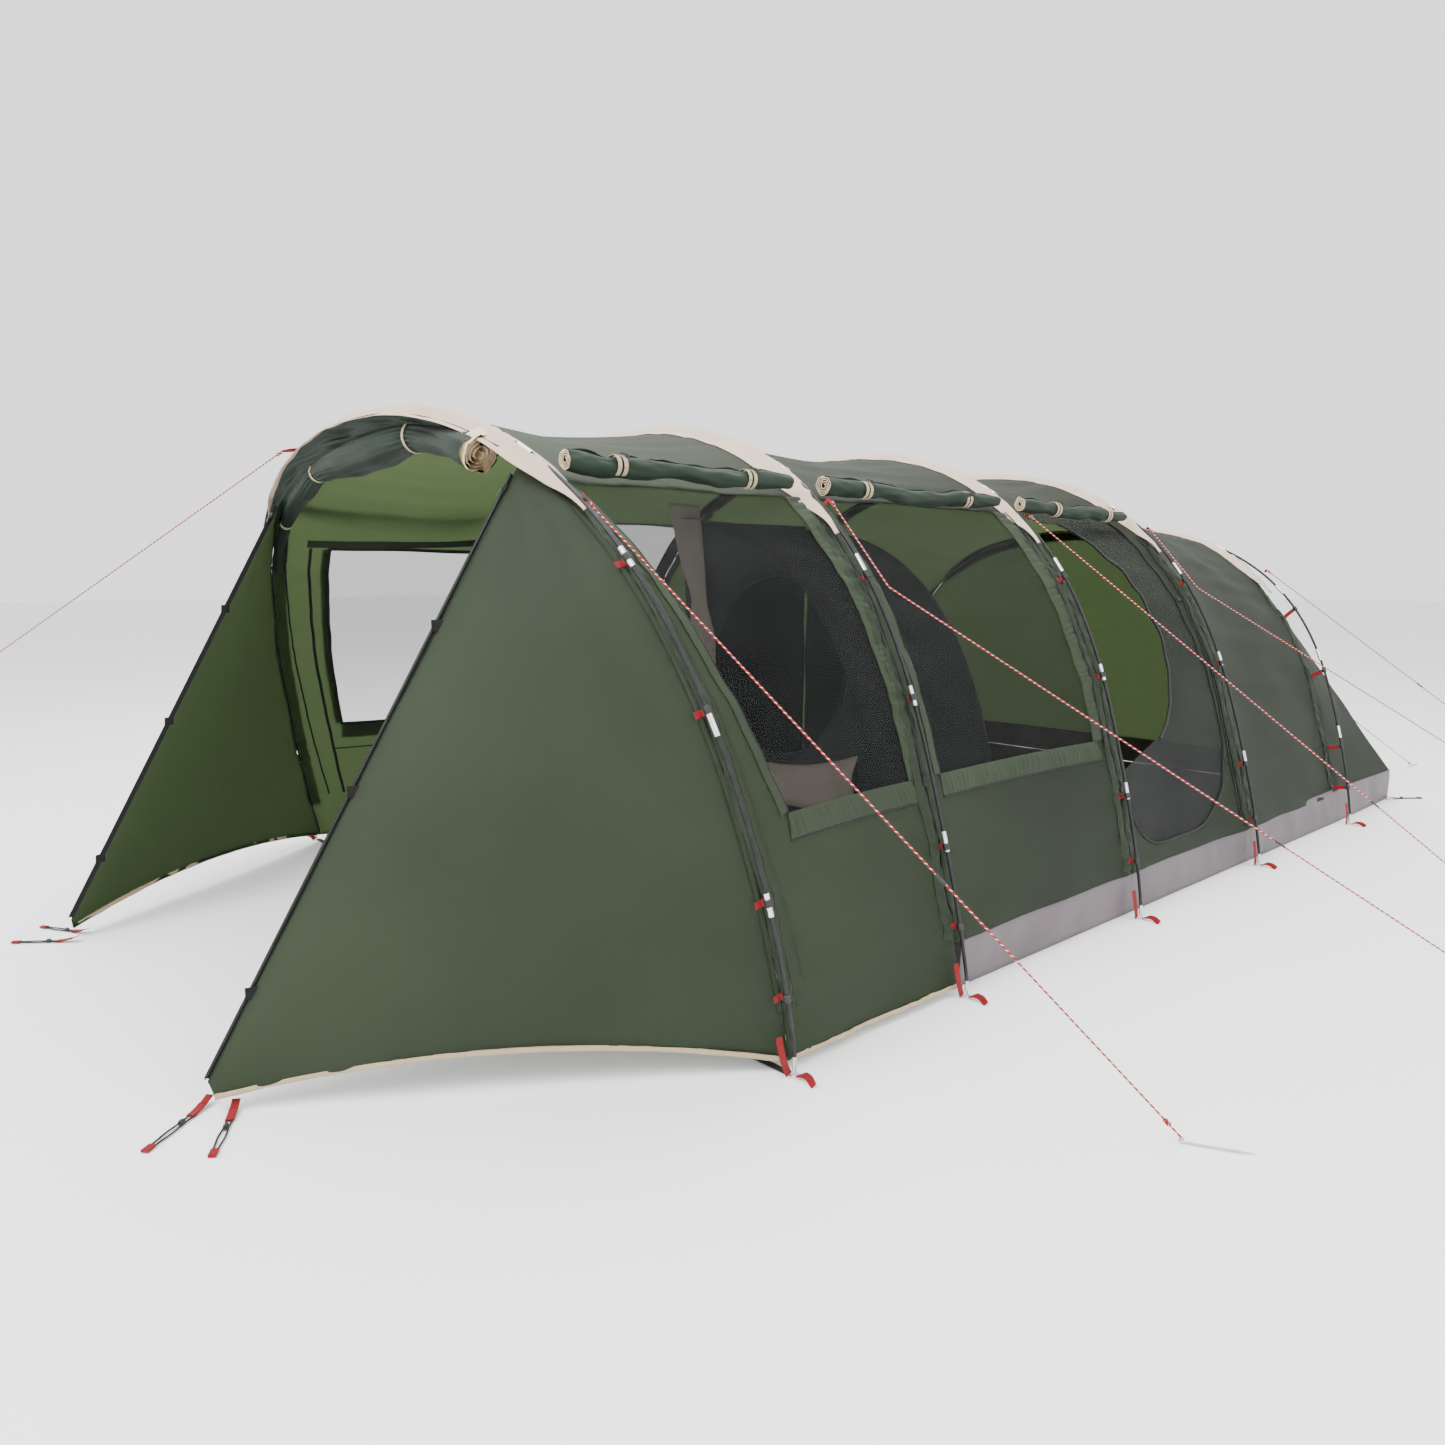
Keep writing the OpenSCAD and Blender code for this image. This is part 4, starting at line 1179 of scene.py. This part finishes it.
def rear_edge(t):
    """The rear panel's lower edge, which turns its corner at 50 degrees."""
    side, f = np.where(t > 90, -1, 1), fold(t)
    start = hoop(LAST, angle_at(LAST, SKIRT_H), 0.075)
    w = np.clip(f / REAR_TURN, 0, 1)
    share = (f - REAR_TURN) / (90 - REAR_TURN)
    x = np.where(f <= REAR_TURN, start[0] + (REAR_CORNER[0] - start[0]) * w, REAR_CORNER[0] * (1 - share))
    y = np.where(f <= REAR_TURN, start[1] + (REAR_CORNER[1] - start[1]) * w, REAR_CORNER[1] + 0.04 * share)
    return spread(side * x, y, SEAM_Z)


def rear(u, t, inset=0.0):
    """Points on the rear panel, from the last hoop at u = 0 down to the skirt at u = 1."""
    u, t = np.broadcast_arrays(np.asarray(u, float), np.asarray(t, float))
    top, low = hoop(LAST, t, fly_gap(LAST, t) + inset), rear_edge(t)
    n = unit(spread(low[..., 0] / 3, low[..., 1] - HOOP_Y[LAST], 0 * u))
    low = low - np.broadcast_to(inset, u.shape)[..., None] * n
    return top + (low - top) * u[..., None]


def make_rear():
    t0 = angle_at(LAST, SEAM_Z)
    corners = [REAR_TURN, 180.0 - REAR_TURN]
    around = np.unique(np.concatenate([np.linspace(t0, 180 - t0, 150), corners]))
    u, t = lattice(np.linspace(0.003, 1, 60), around)
    p, middle = rear(u, t), np.sin(math.pi * u)
    inset = scallop(t) * np.exp(-u * 1.2 / 0.12)
    inset += 0.006 * ripple(p, 0.8, 21) * middle + 0.002 * ripple(p, 0.25, 22) * middle
    inset += 0.018 * middle * (1 - np.exp(-np.abs(fold(t) - REAR_TURN) / 12)) * (fold(t) > 12)
    panel = outward_panel("rear_cloth", rear(u, t, inset), GREEN, GREEN_IN, centre=(0, 2.0, 0.4))
    finish_sheet(panel, ["rear_panel"])


FLOOR_INSET = 0.075
FLOOR_Y = np.array([HOOP_Y[1] + 0.04, *HOOP_Y[2:], REAR_CORNER[1]])
FLOOR_X = np.array([HOOP_W[1], *HOOP_W[2:], REAR_CORNER[0] + FLOOR_INSET]) - FLOOR_INSET


def skirt_top():
    """The right half of the line under the fly's lower edge, from the second hoop to the rear's middle."""
    runs = []
    for k in range(1, LAST):
        u = np.linspace(0.04 if k == 1 else 0, 1, 60)[: 60 if k == LAST - 1 else -1]
        runs.append(dressed(k, u, np.full_like(u, angle_at(k, bay_bottom(k))), 0.007))
    side = np.linspace(angle_at(LAST, SEAM_Z), REAR_TURN, 60)
    around = np.concatenate([side, np.linspace(REAR_TURN + 0.5, 90, 90)])
    runs.append(rear(1.0, around)[1:] - [0, 0.004, 0])
    return np.concatenate(runs)


def make_skirt():
    high = skirt_top()
    x, y = high[:, 0], high[:, 1]
    low = spread(np.where(y < REAR_CORNER[1], np.interp(y, FLOOR_Y, FLOOR_X), x), y, 0.0015)
    high = high * (1, 1, 0) + [0, 0, SKIRT_H + 0.012]
    low, high = (np.concatenate([e, e[-2::-1] * MIRROR]) for e in (low, high))
    v = np.linspace(0, 1, 9)
    out = unit(low * (1, 1, 0) - [0, 1.0, 0])
    p = spread(lengths(low)[:, None], v[None] * SKIRT_H)
    bump = (0.004 * ripple(p * (1, 0.4), 0.22, 61) + 0.006) * np.sin(math.pi * v)[None]
    points = low[:, None] + (high - low)[:, None] * v[None, :, None] + out[:, None] * bump[..., None]
    skirt = outward_panel("skirt", points, SKIRT, FLOOR)
    finish_sheet(skirt, ["floor_skirt"])


def make_floor():
    y, x = lattice(np.linspace(FLOOR_Y[0] + 0.01, REAR_CORNER[1] - 0.01, 150), np.linspace(-1, 1, 110))
    x = x * (np.interp(y, FLOOR_Y, FLOOR_X) - 0.001)
    p = np.stack([x, y], -1)
    z = 0.0035 + 0.0018 * np.clip(ripple(p, 0.5, 81), -1.6, 2) + 0.0012 * np.clip(ripple(p, 0.14, 82), 0, 2)
    sheet = sheet_from_grid("floor_cloth", spread(x, y, z)[:, ::-1], FLOOR, THIN_CLOTH_T)
    finish_sheet(sheet, ["groundsheet"])


make_wings()
make_rear()
make_skirt()
make_floor()

# ---- Sleeves ----

SLEEVE_W = 0.13


def beside(k, d, t, inset):
    """Points on the cloth at a distance d along the tent from hoop k."""
    after, before = np.maximum(d, 0), np.minimum(d, 0)
    if k < LAST:
        rear_part = dressed(k, after / bay_length(k), t, inset)
    else:
        rear_part = rear(after / 1.6, t, inset)
    if k > 0:
        front_part = dressed(k - 1, 1 + before / bay_length(k - 1), t, inset)
    else:
        front_part = hoop(0, t, fly_gap(0, t) + inset - before * 0.3) + spread(0.0, d, 0.0)
    return np.where((d > 0)[..., None], rear_part, front_part)


def add_sleeve_loops(loops, k):
    """Webbing loops that reach from hoop k's sleeve to the starts of its guys."""
    for name in (f"guy_right_{k + 1}", f"guy_left_{k + 1}"):
        start = np.array(GUYS[name][0])
        t = float(ARC_T[np.argmin(np.linalg.norm(hoop(k, ARC_T) - start, axis=1))])
        tip = hoop(k, t, -0.018)
        way = start - tip
        for s in (-1, 1):
            bow = np.sin(np.linspace(0, math.pi, 8))[:, None] * 0.004 * s
            path = tip + way * np.linspace(-0.2, 1.06, 8)[:, None] + inwards(k, t) * bow
            loops.add(ribbon_mesh(path, np.cross(way, inwards(k, t)), 0.014, 0.0014))


def make_sleeves():
    loops = Batch()
    start = SLEEVE_END - 1.5
    for k in range(LAST + 1):
        t, c = lattice(np.linspace(start, 180 - start, 210), np.linspace(-1, 1, 27))
        d = c * (0.014 + (SLEEVE_W / 2 - 0.014) * smooth((fold(t) - start) / 9.5))
        p = np.stack([d, arc(k, t)], -1)
        bump = 0.0225 * np.exp(-((d / 0.024) ** 2)) + 0.0035
        wrinkle = 0.0016 * ripple(p * (1, 0.7), 0.11, 91 + k) * (np.abs(c) < 0.97)
        tuck = -0.0025 * np.exp(-(((np.abs(d) - 0.034) / 0.006) ** 2))
        points = beside(k, d, t, -(bump + wrinkle + tuck))
        sleeve = outward_panel(f"sleeve_{k + 1}", points, CREAM, None, 0.0014)
        finish_sheet(sleeve, ["pole_sleeves"])
        add_sleeve_loops(loops, k)
    finish_piece(loops.object("sleeve_loops", RED))


make_sleeves()


def flange(k, angles, way):
    """A strip of cloth beside hoop k, behind it where way is 1 and in front of it where way is -1."""
    tt, dd = lattice(angles, way * np.linspace(0.004, 0.05, 7))
    puff = 0.004 * np.sin(math.pi * np.linspace(0, 1, 7))[None] + 0.0025
    if k == 0 and way < 0:
        pull = scallop(tt) * np.exp(dd / 0.12)
        points = wing(1 + dd * 0.3 / 1.7, fold(tt), pull - puff - 0.001)
        return points * np.where((tt > 90)[..., None], MIRROR, 1.0)
    bay = k if way > 0 else k - 1
    u = (0 if way > 0 else 1) + dd / bay_length(bay)
    wobble = 0.0016 * ripple(np.stack([dd * 2, arc(k, tt)], -1), 0.06, 101 + k)
    return dressed(bay, u, tt, -puff - wobble)


def make_flanges():
    """Light strips of cloth beside the poles, with a seam along their far edges."""
    strips = Batch()
    for k in range(LAST + 1):
        t = np.linspace(angle_at(k, 0.2), SLEEVE_END, 120)
        for angles in (t, 180 - t):
            for way in (1, -1) if k < LAST else (-1,):
                points = flange(k, angles, way)
                strips.add(outward_grid(points))
                strips.add(tube_mesh(points[:, -1], 0.0016, 6), 1)
    finish_piece(strips.object("hoop_seams", [FLANGE, PIPING_AND_SHADE]))


make_flanges()

# ---- Rolled doors and windows ----


def roll_points(path, radius, turns, seed, core=0.006, per_turn=26):
    """A sheet rolled up along a path; radius is one number for each point."""
    path = np.asarray(path, float)
    _, a, b = frames(path)
    w = np.linspace(0, turns * TURN, int(turns * per_turn) + 1)
    share = w / w[-1]
    at = spread(lengths(path)[:, None] * 0.7, 0.06 * np.cos(w)[None], 0.06 * np.sin(w)[None])
    dent = 1 + 0.09 * ripple(at, 0.16, seed) + 0.08 * ripple(at * (0.5, 1, 1), 0.045, seed + 1) * share**2
    lines = np.abs(np.sin(at[..., 1] * 120 + 2.0 * ripple(at, 0.2, seed + 2))) ** 0.6
    dent = dent * (1 - 0.09 * lines * share**3)
    r = (core + (np.asarray(radius)[:, None] - core) * share**0.9) * dent
    ring = a[:, None] * np.cos(w)[None, :, None] + b[:, None] * np.sin(w)[None, :, None]
    return path[:, None] + r[..., None] * ring


def ring_path(at, along, radius, n=40):
    along = unit(along)
    a = unit(np.cross(along, (0.1, 0.2, 1.0)))
    b = np.cross(along, a)
    w = np.linspace(0, TURN, n)[:, None]
    return np.asarray(at) + radius * (a * np.cos(w) + b * np.sin(w))


def add_tie(batch, at, along, radius, width, bands):
    """A tape round a roll, with a dark elastic end on top."""
    at, along = np.asarray(at), unit(along)
    for i in range(bands):
        centre = at + along * (i - (bands - 1) / 2) * width * 1.6
        batch.add(ribbon_mesh(ring_path(centre, along, radius), along, width, 0.0014), 0)
    out = unit(at * (1, 0, 1) - (0, 0, 0.6))
    up = unit(out - (out @ along) * along)
    top = at + along * width * 0.9 + up * (radius + 0.002)
    curve = np.linspace(-1, 1, 9)[:, None]
    strap = top + np.cross(along, up) * curve * 0.02 + up * (0.006 - 0.006 * curve**2)
    batch.add(ribbon_mesh(strap + np.array([0, 0, 0.012]) * (1 + curve) / 2, along, 0.014, 0.003), 1)


ROLL_T = 55.5
ROLL_R = 0.033
BAY_TIES = {0: (0.2, 0.78), 1: (0.2, 0.78), 2: (0.3, 0.8)}


def roll_body(name, points, length):
    """A rolled sheet whose pale lining shows at its ends."""
    vertices, faces, uv = grid(points)
    roll = new_object(name, vertices, faces, [FLAP, LINING], uv)
    solid = roll.modifiers.new("solid", "SOLIDIFY")
    solid.thickness = 0.0032
    solid.offset = 0.0
    solid.material_offset_rim = 1
    apply(roll)
    start = points[0].mean(0)
    way = (points[-1].mean(0) - start) / length
    for face in roll.data.polygons:
        if 0.004 < (np.array(face.center) - start) @ way < length - 0.004:
            face.material_index = 0
    return roll


def make_bay_rolls():
    ties = Batch()
    for k, left in ((0, False), (0, True), (1, False), (1, True), (2, False)):
        s = np.linspace(0, 1, 90)
        a, b = fly(k, 0.075, ROLL_T, -0.044), fly(k, 0.925, ROLL_T, -0.044)
        path = a + (b - a) * s[:, None]
        middle = np.sin(s * math.pi)
        path[:, 2] -= 0.008 * middle + 0.006 * np.sin(s * 11 + 2 * k) * middle
        length = float(np.linalg.norm(b - a))
        radius = np.full(90, ROLL_R)
        for tie in BAY_TIES[k]:
            radius = radius * (1 - 0.14 * np.exp(-(((s - tie) * length / 0.035) ** 2)))
        radius = radius * (1 + 0.12 * np.sin(s * 9 + k) + 0.06 * np.sin(s * 31 + 2 * k))
        radius = radius * (1 - 0.25 * smooth((s - 0.8) / 0.2))
        points = roll_points(path, radius, 4, 111 + 3 * k + left)
        if left:
            points = points[:, ::-1] * MIRROR
        name = "door_roll" if k == 2 else f"window_roll_{'left' if left else 'right'}_{k + 1}"
        roll = roll_body(name, points, length)
        finish_piece(roll, ["side_door_roll" if k == 2 else "window_rolls"])
        sign = MIRROR if left else 1
        for tie in BAY_TIES[k]:
            at = a + (b - a) * tie - np.array([0, 0, 0.008 * math.sin(tie * math.pi)])
            add_tie(ties, at * sign, (b - a) * sign, ROLL_R + 0.0005, 0.015, 2)
    return ties


# The rolled front door hangs as a bundle: its two edges, measured inwards from the first hoop
BUNDLE = (
    # angle, lower edge, upper edge
    (57, 0.148, 0.01),
    (60, 0.15, 0.008),
    (63, 0.15, 0.008),
    (66.5, 0.145, 0.02),
    (73.5, 0.164, 0.03),
    (79, 0.153, 0.035),
    (88.5, 0.211, 0.05),
    (98, 0.220, 0.055),
    (108.5, 0.164, 0.062),
    (110, 0.141, 0.061),
    (116, 0.157, 0.062),
    (125, 0.116, 0.056),
    (127, 0.105, 0.052),
    (132.5, 0.085, 0.045),
    (138, 0.07, 0.04),
)
BUNDLE_TIES = (79, 110, 127)
# How many folds go round the bundle, and how deep they are
BUNDLE_FOLDS = ((3, 0.10), (5, 0.085), (8, 0.06), (13, 0.035), (19, 0.02))


def bundle_size():
    """The bundle's angles, and its middle's distance from the hoop and its radius there."""
    t = np.linspace(62.5, 137, 230)
    angles, *edges = zip(*BUNDLE)
    kernel = np.exp(-np.linspace(-2, 2, 9) ** 2)
    low, high = (
        np.convolve(np.pad(np.interp(t, angles, edge), 4, mode="edge"), kernel / kernel.sum(), "valid")
        for edge in edges
    )
    return t, (low + high) / 2, (low - high) / 2


def bundle_folds(t, w):
    """Folds along the bundle, drawn together at its ties."""
    folds = np.zeros((len(t), len(w)))
    rng = np.random.RandomState(5)
    for n, depth in BUNDLE_FOLDS:
        drift = 0.9 * np.sin(t * rng.uniform(0.08, 0.2) + rng.uniform(0, 6)) + rng.uniform(0, 6)
        crease = np.abs(np.sin((w[None] * n + drift[:, None] * 2) / 2)) ** 0.65 - 0.6
        folds += depth * crease * (0.6 + 0.4 * np.sin(t * 0.31 + n))[:, None]
    for tie in BUNDLE_TIES:
        near = np.exp(-(((t - tie) / 3.0) ** 2))[:, None]
        folds += 0.07 * near * np.cos(w[None] * 17 + 0.2 * t[:, None])
    return folds


def make_front_door(ties):
    t, middle, radius = bundle_size()
    path = hoop(0, t) + np.stack([inwards(0, a) * m for a, m in zip(t, middle)])
    path[:, 1] += 0.02 - 0.07 * smooth((74 - t) / 11)
    tight = np.ones_like(t)
    for tie in BUNDLE_TIES:
        tight = tight * (1 - 0.10 * np.exp(-(((t - tie) / 1.0) ** 2)))
    _, across, up = frames(path)
    w = np.linspace(0, TURN, 97)[:-1]
    r = radius[:, None] * tight[:, None] * (0.97 + bundle_folds(t, w))
    ring = across[:, None] * np.cos(w)[None, :, None] * 0.8 + up[:, None] * np.sin(w)[None, :, None]
    vertices = (path[:, None] + ring * r[..., None]).reshape(-1, 3)
    last = (len(t) - 1) * len(w)
    faces = grid_faces(len(t), len(w), close=True) + [tuple(last + j for j in range(len(w)))]
    bundle = Batch()
    bundle.add((vertices, faces, spread(arc(0, t)[:, None], (w * 0.07)[None]).reshape(-1, 2)))
    # The roll's end on the right shows its layers
    start = path[:2] - unit(path[1] - path[0]) * np.array([[0.012], [-0.03]])
    end_path = start[0] + (start[1] - start[0]) * np.linspace(0, 1, 8)[:, None]
    bundle.add(grid(roll_points(end_path, np.full(8, radius[0] * 0.93), 4.5, 131, 0.008, 30)), 1)
    door = bundle.object("front_door", [DOOR, LINING])
    bm = bmesh.new()
    bm.from_mesh(door.data)
    bmesh.ops.recalc_face_normals(bm, faces=bm.faces)
    bm.to_mesh(door.data)
    bm.free()
    finish_piece(door, ["front_door_roll"])
    for tie in BUNDLE_TIES:
        i = int(np.argmin(np.abs(t - tie)))
        add_tie(ties, path[i], path[i + 1] - path[i - 1], float(radius[i]) * 0.95, 0.016, 1)


def make_door_head():
    """The door's upper part hangs from the sleeve to the bundle."""
    t, middle, radius = bundle_size()
    a, v = lattice(np.linspace(60, 136, 150), np.linspace(0, 1, 16))
    bottom = np.interp(a, t, middle) - np.interp(a, t, radius) * 0.55
    drop = 0.022 + (bottom - 0.022) * v
    inward = np.stack([inwards(0, x) for x in a.ravel()]).reshape(a.shape + (3,))
    head = hoop(0, a) + inward * drop[..., None]
    pleats = ripple(np.stack([arc(0, a) + 0.35 * v, v * 0.3], -1), 0.24, 141) * np.sin(math.pi * v)
    head[..., 1] += -0.046 + 0.04 * v + 0.008 * np.sin(math.pi * v) + 0.007 * pleats
    finish_sheet(sheet_from_grid("front_door_head", head, DOOR), ())


ROLL_TIES = make_bay_rolls()
make_front_door(ROLL_TIES)
make_door_head()
finish_piece(ROLL_TIES.object("ties", [TIE, BLACK]), ["roll_ties"])

# ---- Inner cabin ----

CABIN_Y = (-1.141, -0.361)
CABIN_SIDE = 0.197
CABIN_Z = 0.06
CABIN_TOP_T = 81
DOORWAY_X, DOORWAY_Z, DOORWAY_R = 0.78, 1.06, 0.36


def finish_cabin_sheet(sheet, nodes):
    finish_sheet(sheet, nodes)


def make_cabin_shell():
    """The cabin's outer wall and roof in one sheet, and the divider in the tent's middle."""
    front, back = 0.092, 0.718
    t, u = lattice(np.linspace(angle_at(1, CABIN_Z), CABIN_TOP_T, 60), np.linspace(front, back, 34))
    billow = 0.01 * ripple(np.stack([u * 1.2, arc(1, t)], -1), 0.5, 151)
    roof = fly(1, u, t, 0.33 + billow * np.sin(math.pi * (u - front) / (back - front)))
    z, y = lattice(np.linspace(CABIN_Z, 1.66, 50), np.linspace(CABIN_Y[0] + 0.004, CABIN_Y[1] - 0.004, 28))
    divider = spread(CABIN_SIDE + 0.006 * ripple(np.stack([y, z], -1), 0.5, 152), y, z)
    for name, points in (("cabin_roof", roof), ("cabin_divider", divider)):
        wall = sheet_from_grid(name, points, CABIN, CLOTH_T, 0.0)
        finish_cabin_sheet(wall, ["inner_cabin"])


def doorway(r, w):
    return DOORWAY_X + r * np.cos(w), DOORWAY_Z + r * np.sin(w)


def make_cabin_ends():
    """The cabin's front wall with its round doorway, and its rear wall."""
    w = np.radians(np.arange(0, 360, 7.5))
    hole = spread(*doorway(DOORWAY_R, w))
    for name, y, holes in (("cabin_front", CABIN_Y[0], [hole]), ("cabin_rear", CABIN_Y[1], [])):
        u = (y - HOOP_Y[1]) / bay_length(1)
        side = fly(1, u, np.linspace(angle_at(1, CABIN_Z), CABIN_TOP_T, 40), 0.345)[:, ::2]
        inner = CABIN_SIDE + 0.006
        outline = np.concatenate([side, [[inner, side[-1, 1]], [inner, CABIN_Z]]])
        flat, faces = cut_cloth(outline, holes, 0.03)
        points = spread(flat[:, 0], y + 0.008 * ripple(flat, 0.5, 153), flat[:, 1])
        wall = thicken(new_object(name, points, faces, CABIN, flat), CLOTH_T, 0.0)
        finish_cabin_sheet(wall, ["inner_cabin"])
    x, z = doorway(DOORWAY_R + 0.008, np.append(w, w[:1]))
    vertices, faces, _ = tube_mesh(spread(x, CABIN_Y[0] - 0.006, z), 0.006, 8, False)
    finish_piece(new_object("cabin_door_zip", vertices, faces, ZIP))


def make_cabin_flaps():
    """A pale strip hangs beside the doorway and a brown flap droops below it."""
    v, across = np.linspace(0, 1, 60), np.linspace(0, 1, 9)
    top, low = np.array([[0.13, 1.74], [0.33, 1.72]]), np.array([[0.42, 0.75], [0.49, 0.75]])
    edge = top[None] + (low - top)[None] * v[:, None, None]
    xz = edge[:, :1] + (edge[:, 1:] - edge[:, :1]) * across[None, :, None]
    y = CABIN_Y[0] - 0.03 + 0.006 * ripple(xz, 0.2, 154)
    strip = sheet_from_grid("cabin_strip", spread(xz[..., 0], y, xz[..., 1]), BROWN, THIN_CLOTH_T, 0.0)
    finish_cabin_sheet(strip, ())
    x, v = lattice(np.linspace(0.215, 1.24, 60), np.linspace(0, 1, 18))
    crest = 0.66 + np.where(x < 0.74, 0.30, 0.10) * ((x - 0.74) / 0.52) ** 2
    z = crest + (0.5 - crest) * v
    y = CABIN_Y[0] - 0.022 - 0.035 * np.sin(math.pi * v) - 0.006 * ripple(np.stack([x, z], -1), 0.16, 155)
    flap = sheet_from_grid("cabin_flap", spread(x, y, z), BROWN, THIN_CLOTH_T, 0.0)
    finish_cabin_sheet(flap, ())


make_cabin_shell()
make_cabin_ends()
make_cabin_flaps()

# ---- Hems and zips ----


def make_hems():
    hems = Batch()
    t0 = angle_at(0, HEM_Z)
    u, v = lattice(np.linspace(0.03, 0.985, 130), np.linspace(0, 1, 5))
    wave = 0.0014 * ripple(np.stack([u * 1.6, v * 0.02], -1), 0.09, 161)
    rise = spread(0.0, 0.0, 0.016 * v - 0.003)
    for inset in (-0.0035, 0.0015):
        on_both_sides(hems, grid(wing(u, t0, inset - wave - 0.003 * v) + rise))
    right, left = (dressed(0, u, np.full_like(u, t), -0.004 - wave) + rise for t in (t0, 180 - t0))
    hems.add(grid(right))
    hems.add(grid(left[:, ::-1]))
    finish_piece(thicken(hems.object("hems", TIE), THIN_CLOTH_T, 0.0), ["hem_tapes"])


# Each wing's zip runs up its free edge
ZIP_FOOT = wing(0.035, WING_TOP) + [0, -0.009, 0]
ZIP_RUN = wing(0.97, WING_TOP) + [0, -0.009, 0] - ZIP_FOOT


def make_zips():
    s = np.linspace(0, 1, 160)[:, None]
    zips = Batch()
    tape = ZIP_FOOT + ZIP_RUN * s + [0, 0.004, 0]
    on_both_sides(zips, ribbon_mesh(tape, (0, 1, 0), 0.018, WEBBING_T))
    teeth = ZIP_FOOT + ZIP_RUN * np.linspace(0, 1, 700)[:, None] + [0.002, -0.002, 0]
    teeth_r = 0.0024 + 0.0007 * np.cos(np.arange(700) * math.pi)
    on_both_sides(zips, tube_mesh(teeth, teeth_r, 6), 1)
    # Short tabs of webbing along the wing's edge hold the zipped-off front
    for share in (0.13, 0.45, 0.73):
        reach = np.linspace(-0.012, 0.026, 7)[:, None] * np.array([0.35, 0.93, 0.0])
        tab = ZIP_FOOT + ZIP_RUN * share + reach + [0.006, 0, 0]
        on_both_sides(zips, ribbon_mesh(tab, ZIP_RUN, 0.034, 0.003), 2)
    finish_piece(zips.object("zips", [ZIP, CLIP, BLACK]), ["wing_zips"])


def make_slider(side, mirror):
    """A zip slider: two bowed plates with a post between them, and a tongue on an eye."""
    at, along = (ZIP_FOOT + ZIP_RUN * 0.975) * mirror, unit(ZIP_RUN * mirror)
    out = unit(np.array([-0.5 * mirror[0], -1.0, 0.0]))
    out = unit(out - (out @ along) * along)
    across = np.cross(along, out)
    body = Batch()
    s = np.linspace(-0.013, 0.013, 9)
    wide = 0.015 - 0.004 * (s / 0.013) ** 2
    for h in (-0.0035, 0.0035):
        for j in range(8):
            piece = at + along * s[j : j + 2, None] + out * h
            body.add(ribbon_mesh(piece, across, float(wide[j]), 0.0016))
    body.add(ribbon_mesh(at + along * np.array([-0.004, 0.0, 0.004])[:, None], out, 0.009, 0.003))
    pull = np.linspace(0, 1, 9)[:, None]
    tongue = at + out * (0.0055 + 0.002 * np.sin(pull * math.pi)) - along * (0.002 + 0.034 * pull)
    body.add(ribbon_mesh(tongue, across, 0.007, WEBBING_T))
    eye = ring_path(at + out * 0.006 - along * 0.004, across, 0.0035, 18)
    body.add(tube_mesh(eye, 0.001, 8, False))
    slider = body.object(f"slider_{side}", SLIDER)
    finish_piece(slider, [f"zip_slider_{side}"], f"zip_slider_{side}")


make_hems()
make_zips()
make_slider("right", np.ones(3))
make_slider("left", MIRROR)

# ---- Floor and light ----


# Name, place, size, power and the point it is aimed at
LAMPS = (
    ("key", (1.5, -7.5, 8.0), 6.0, 1300.0, (0, -0.5, 0.8)),
    ("fill", (8.5, -1.0, 5.0), 6.0, 420.0, (0, 0.5, 0.8)),
    ("top", (-2.0, 2.0, 9.0), 7.0, 900.0, (0, 0.5, 0.8)),
)
FLOOR_REACH = 60


def make_stage():
    corners = [(x * FLOOR_REACH, y * FLOOR_REACH, -0.002) for x, y in ((-1, -1), (1, -1), (1, 1), (-1, 1))]
    mesh = bpy.data.meshes.new("studio_floor")
    mesh.from_pydata(corners, [], [(0, 1, 2, 3)])
    floor = bpy.data.objects.new("studio_floor", mesh)
    bpy.context.scene.collection.objects.link(floor)
    m = Nodes("studio_floor", 0.9)
    m.colour(m.mix(m.noise(0.6), rgb(238, 238, 238), rgb(243, 243, 243)))
    mesh.materials.append(m.material)
    world = bpy.data.worlds.new("studio")
    bpy.context.scene.world = world
    world.use_nodes = True
    background = world.node_tree.nodes["Background"]
    background.inputs["Color"].default_value = (1.0, 1.0, 1.0, 1.0)
    background.inputs["Strength"].default_value = 1.8
    for name, at, size, power, aim in LAMPS:
        data = bpy.data.lights.new(name, "AREA")
        data.size = size
        data.energy = power
        lamp = bpy.data.objects.new(name, data)
        lamp.location = at
        lamp.rotation_euler = (Vector(aim) - Vector(at)).to_track_quat("-Z", "Y").to_euler()
        bpy.context.scene.collection.objects.link(lamp)


make_stage()
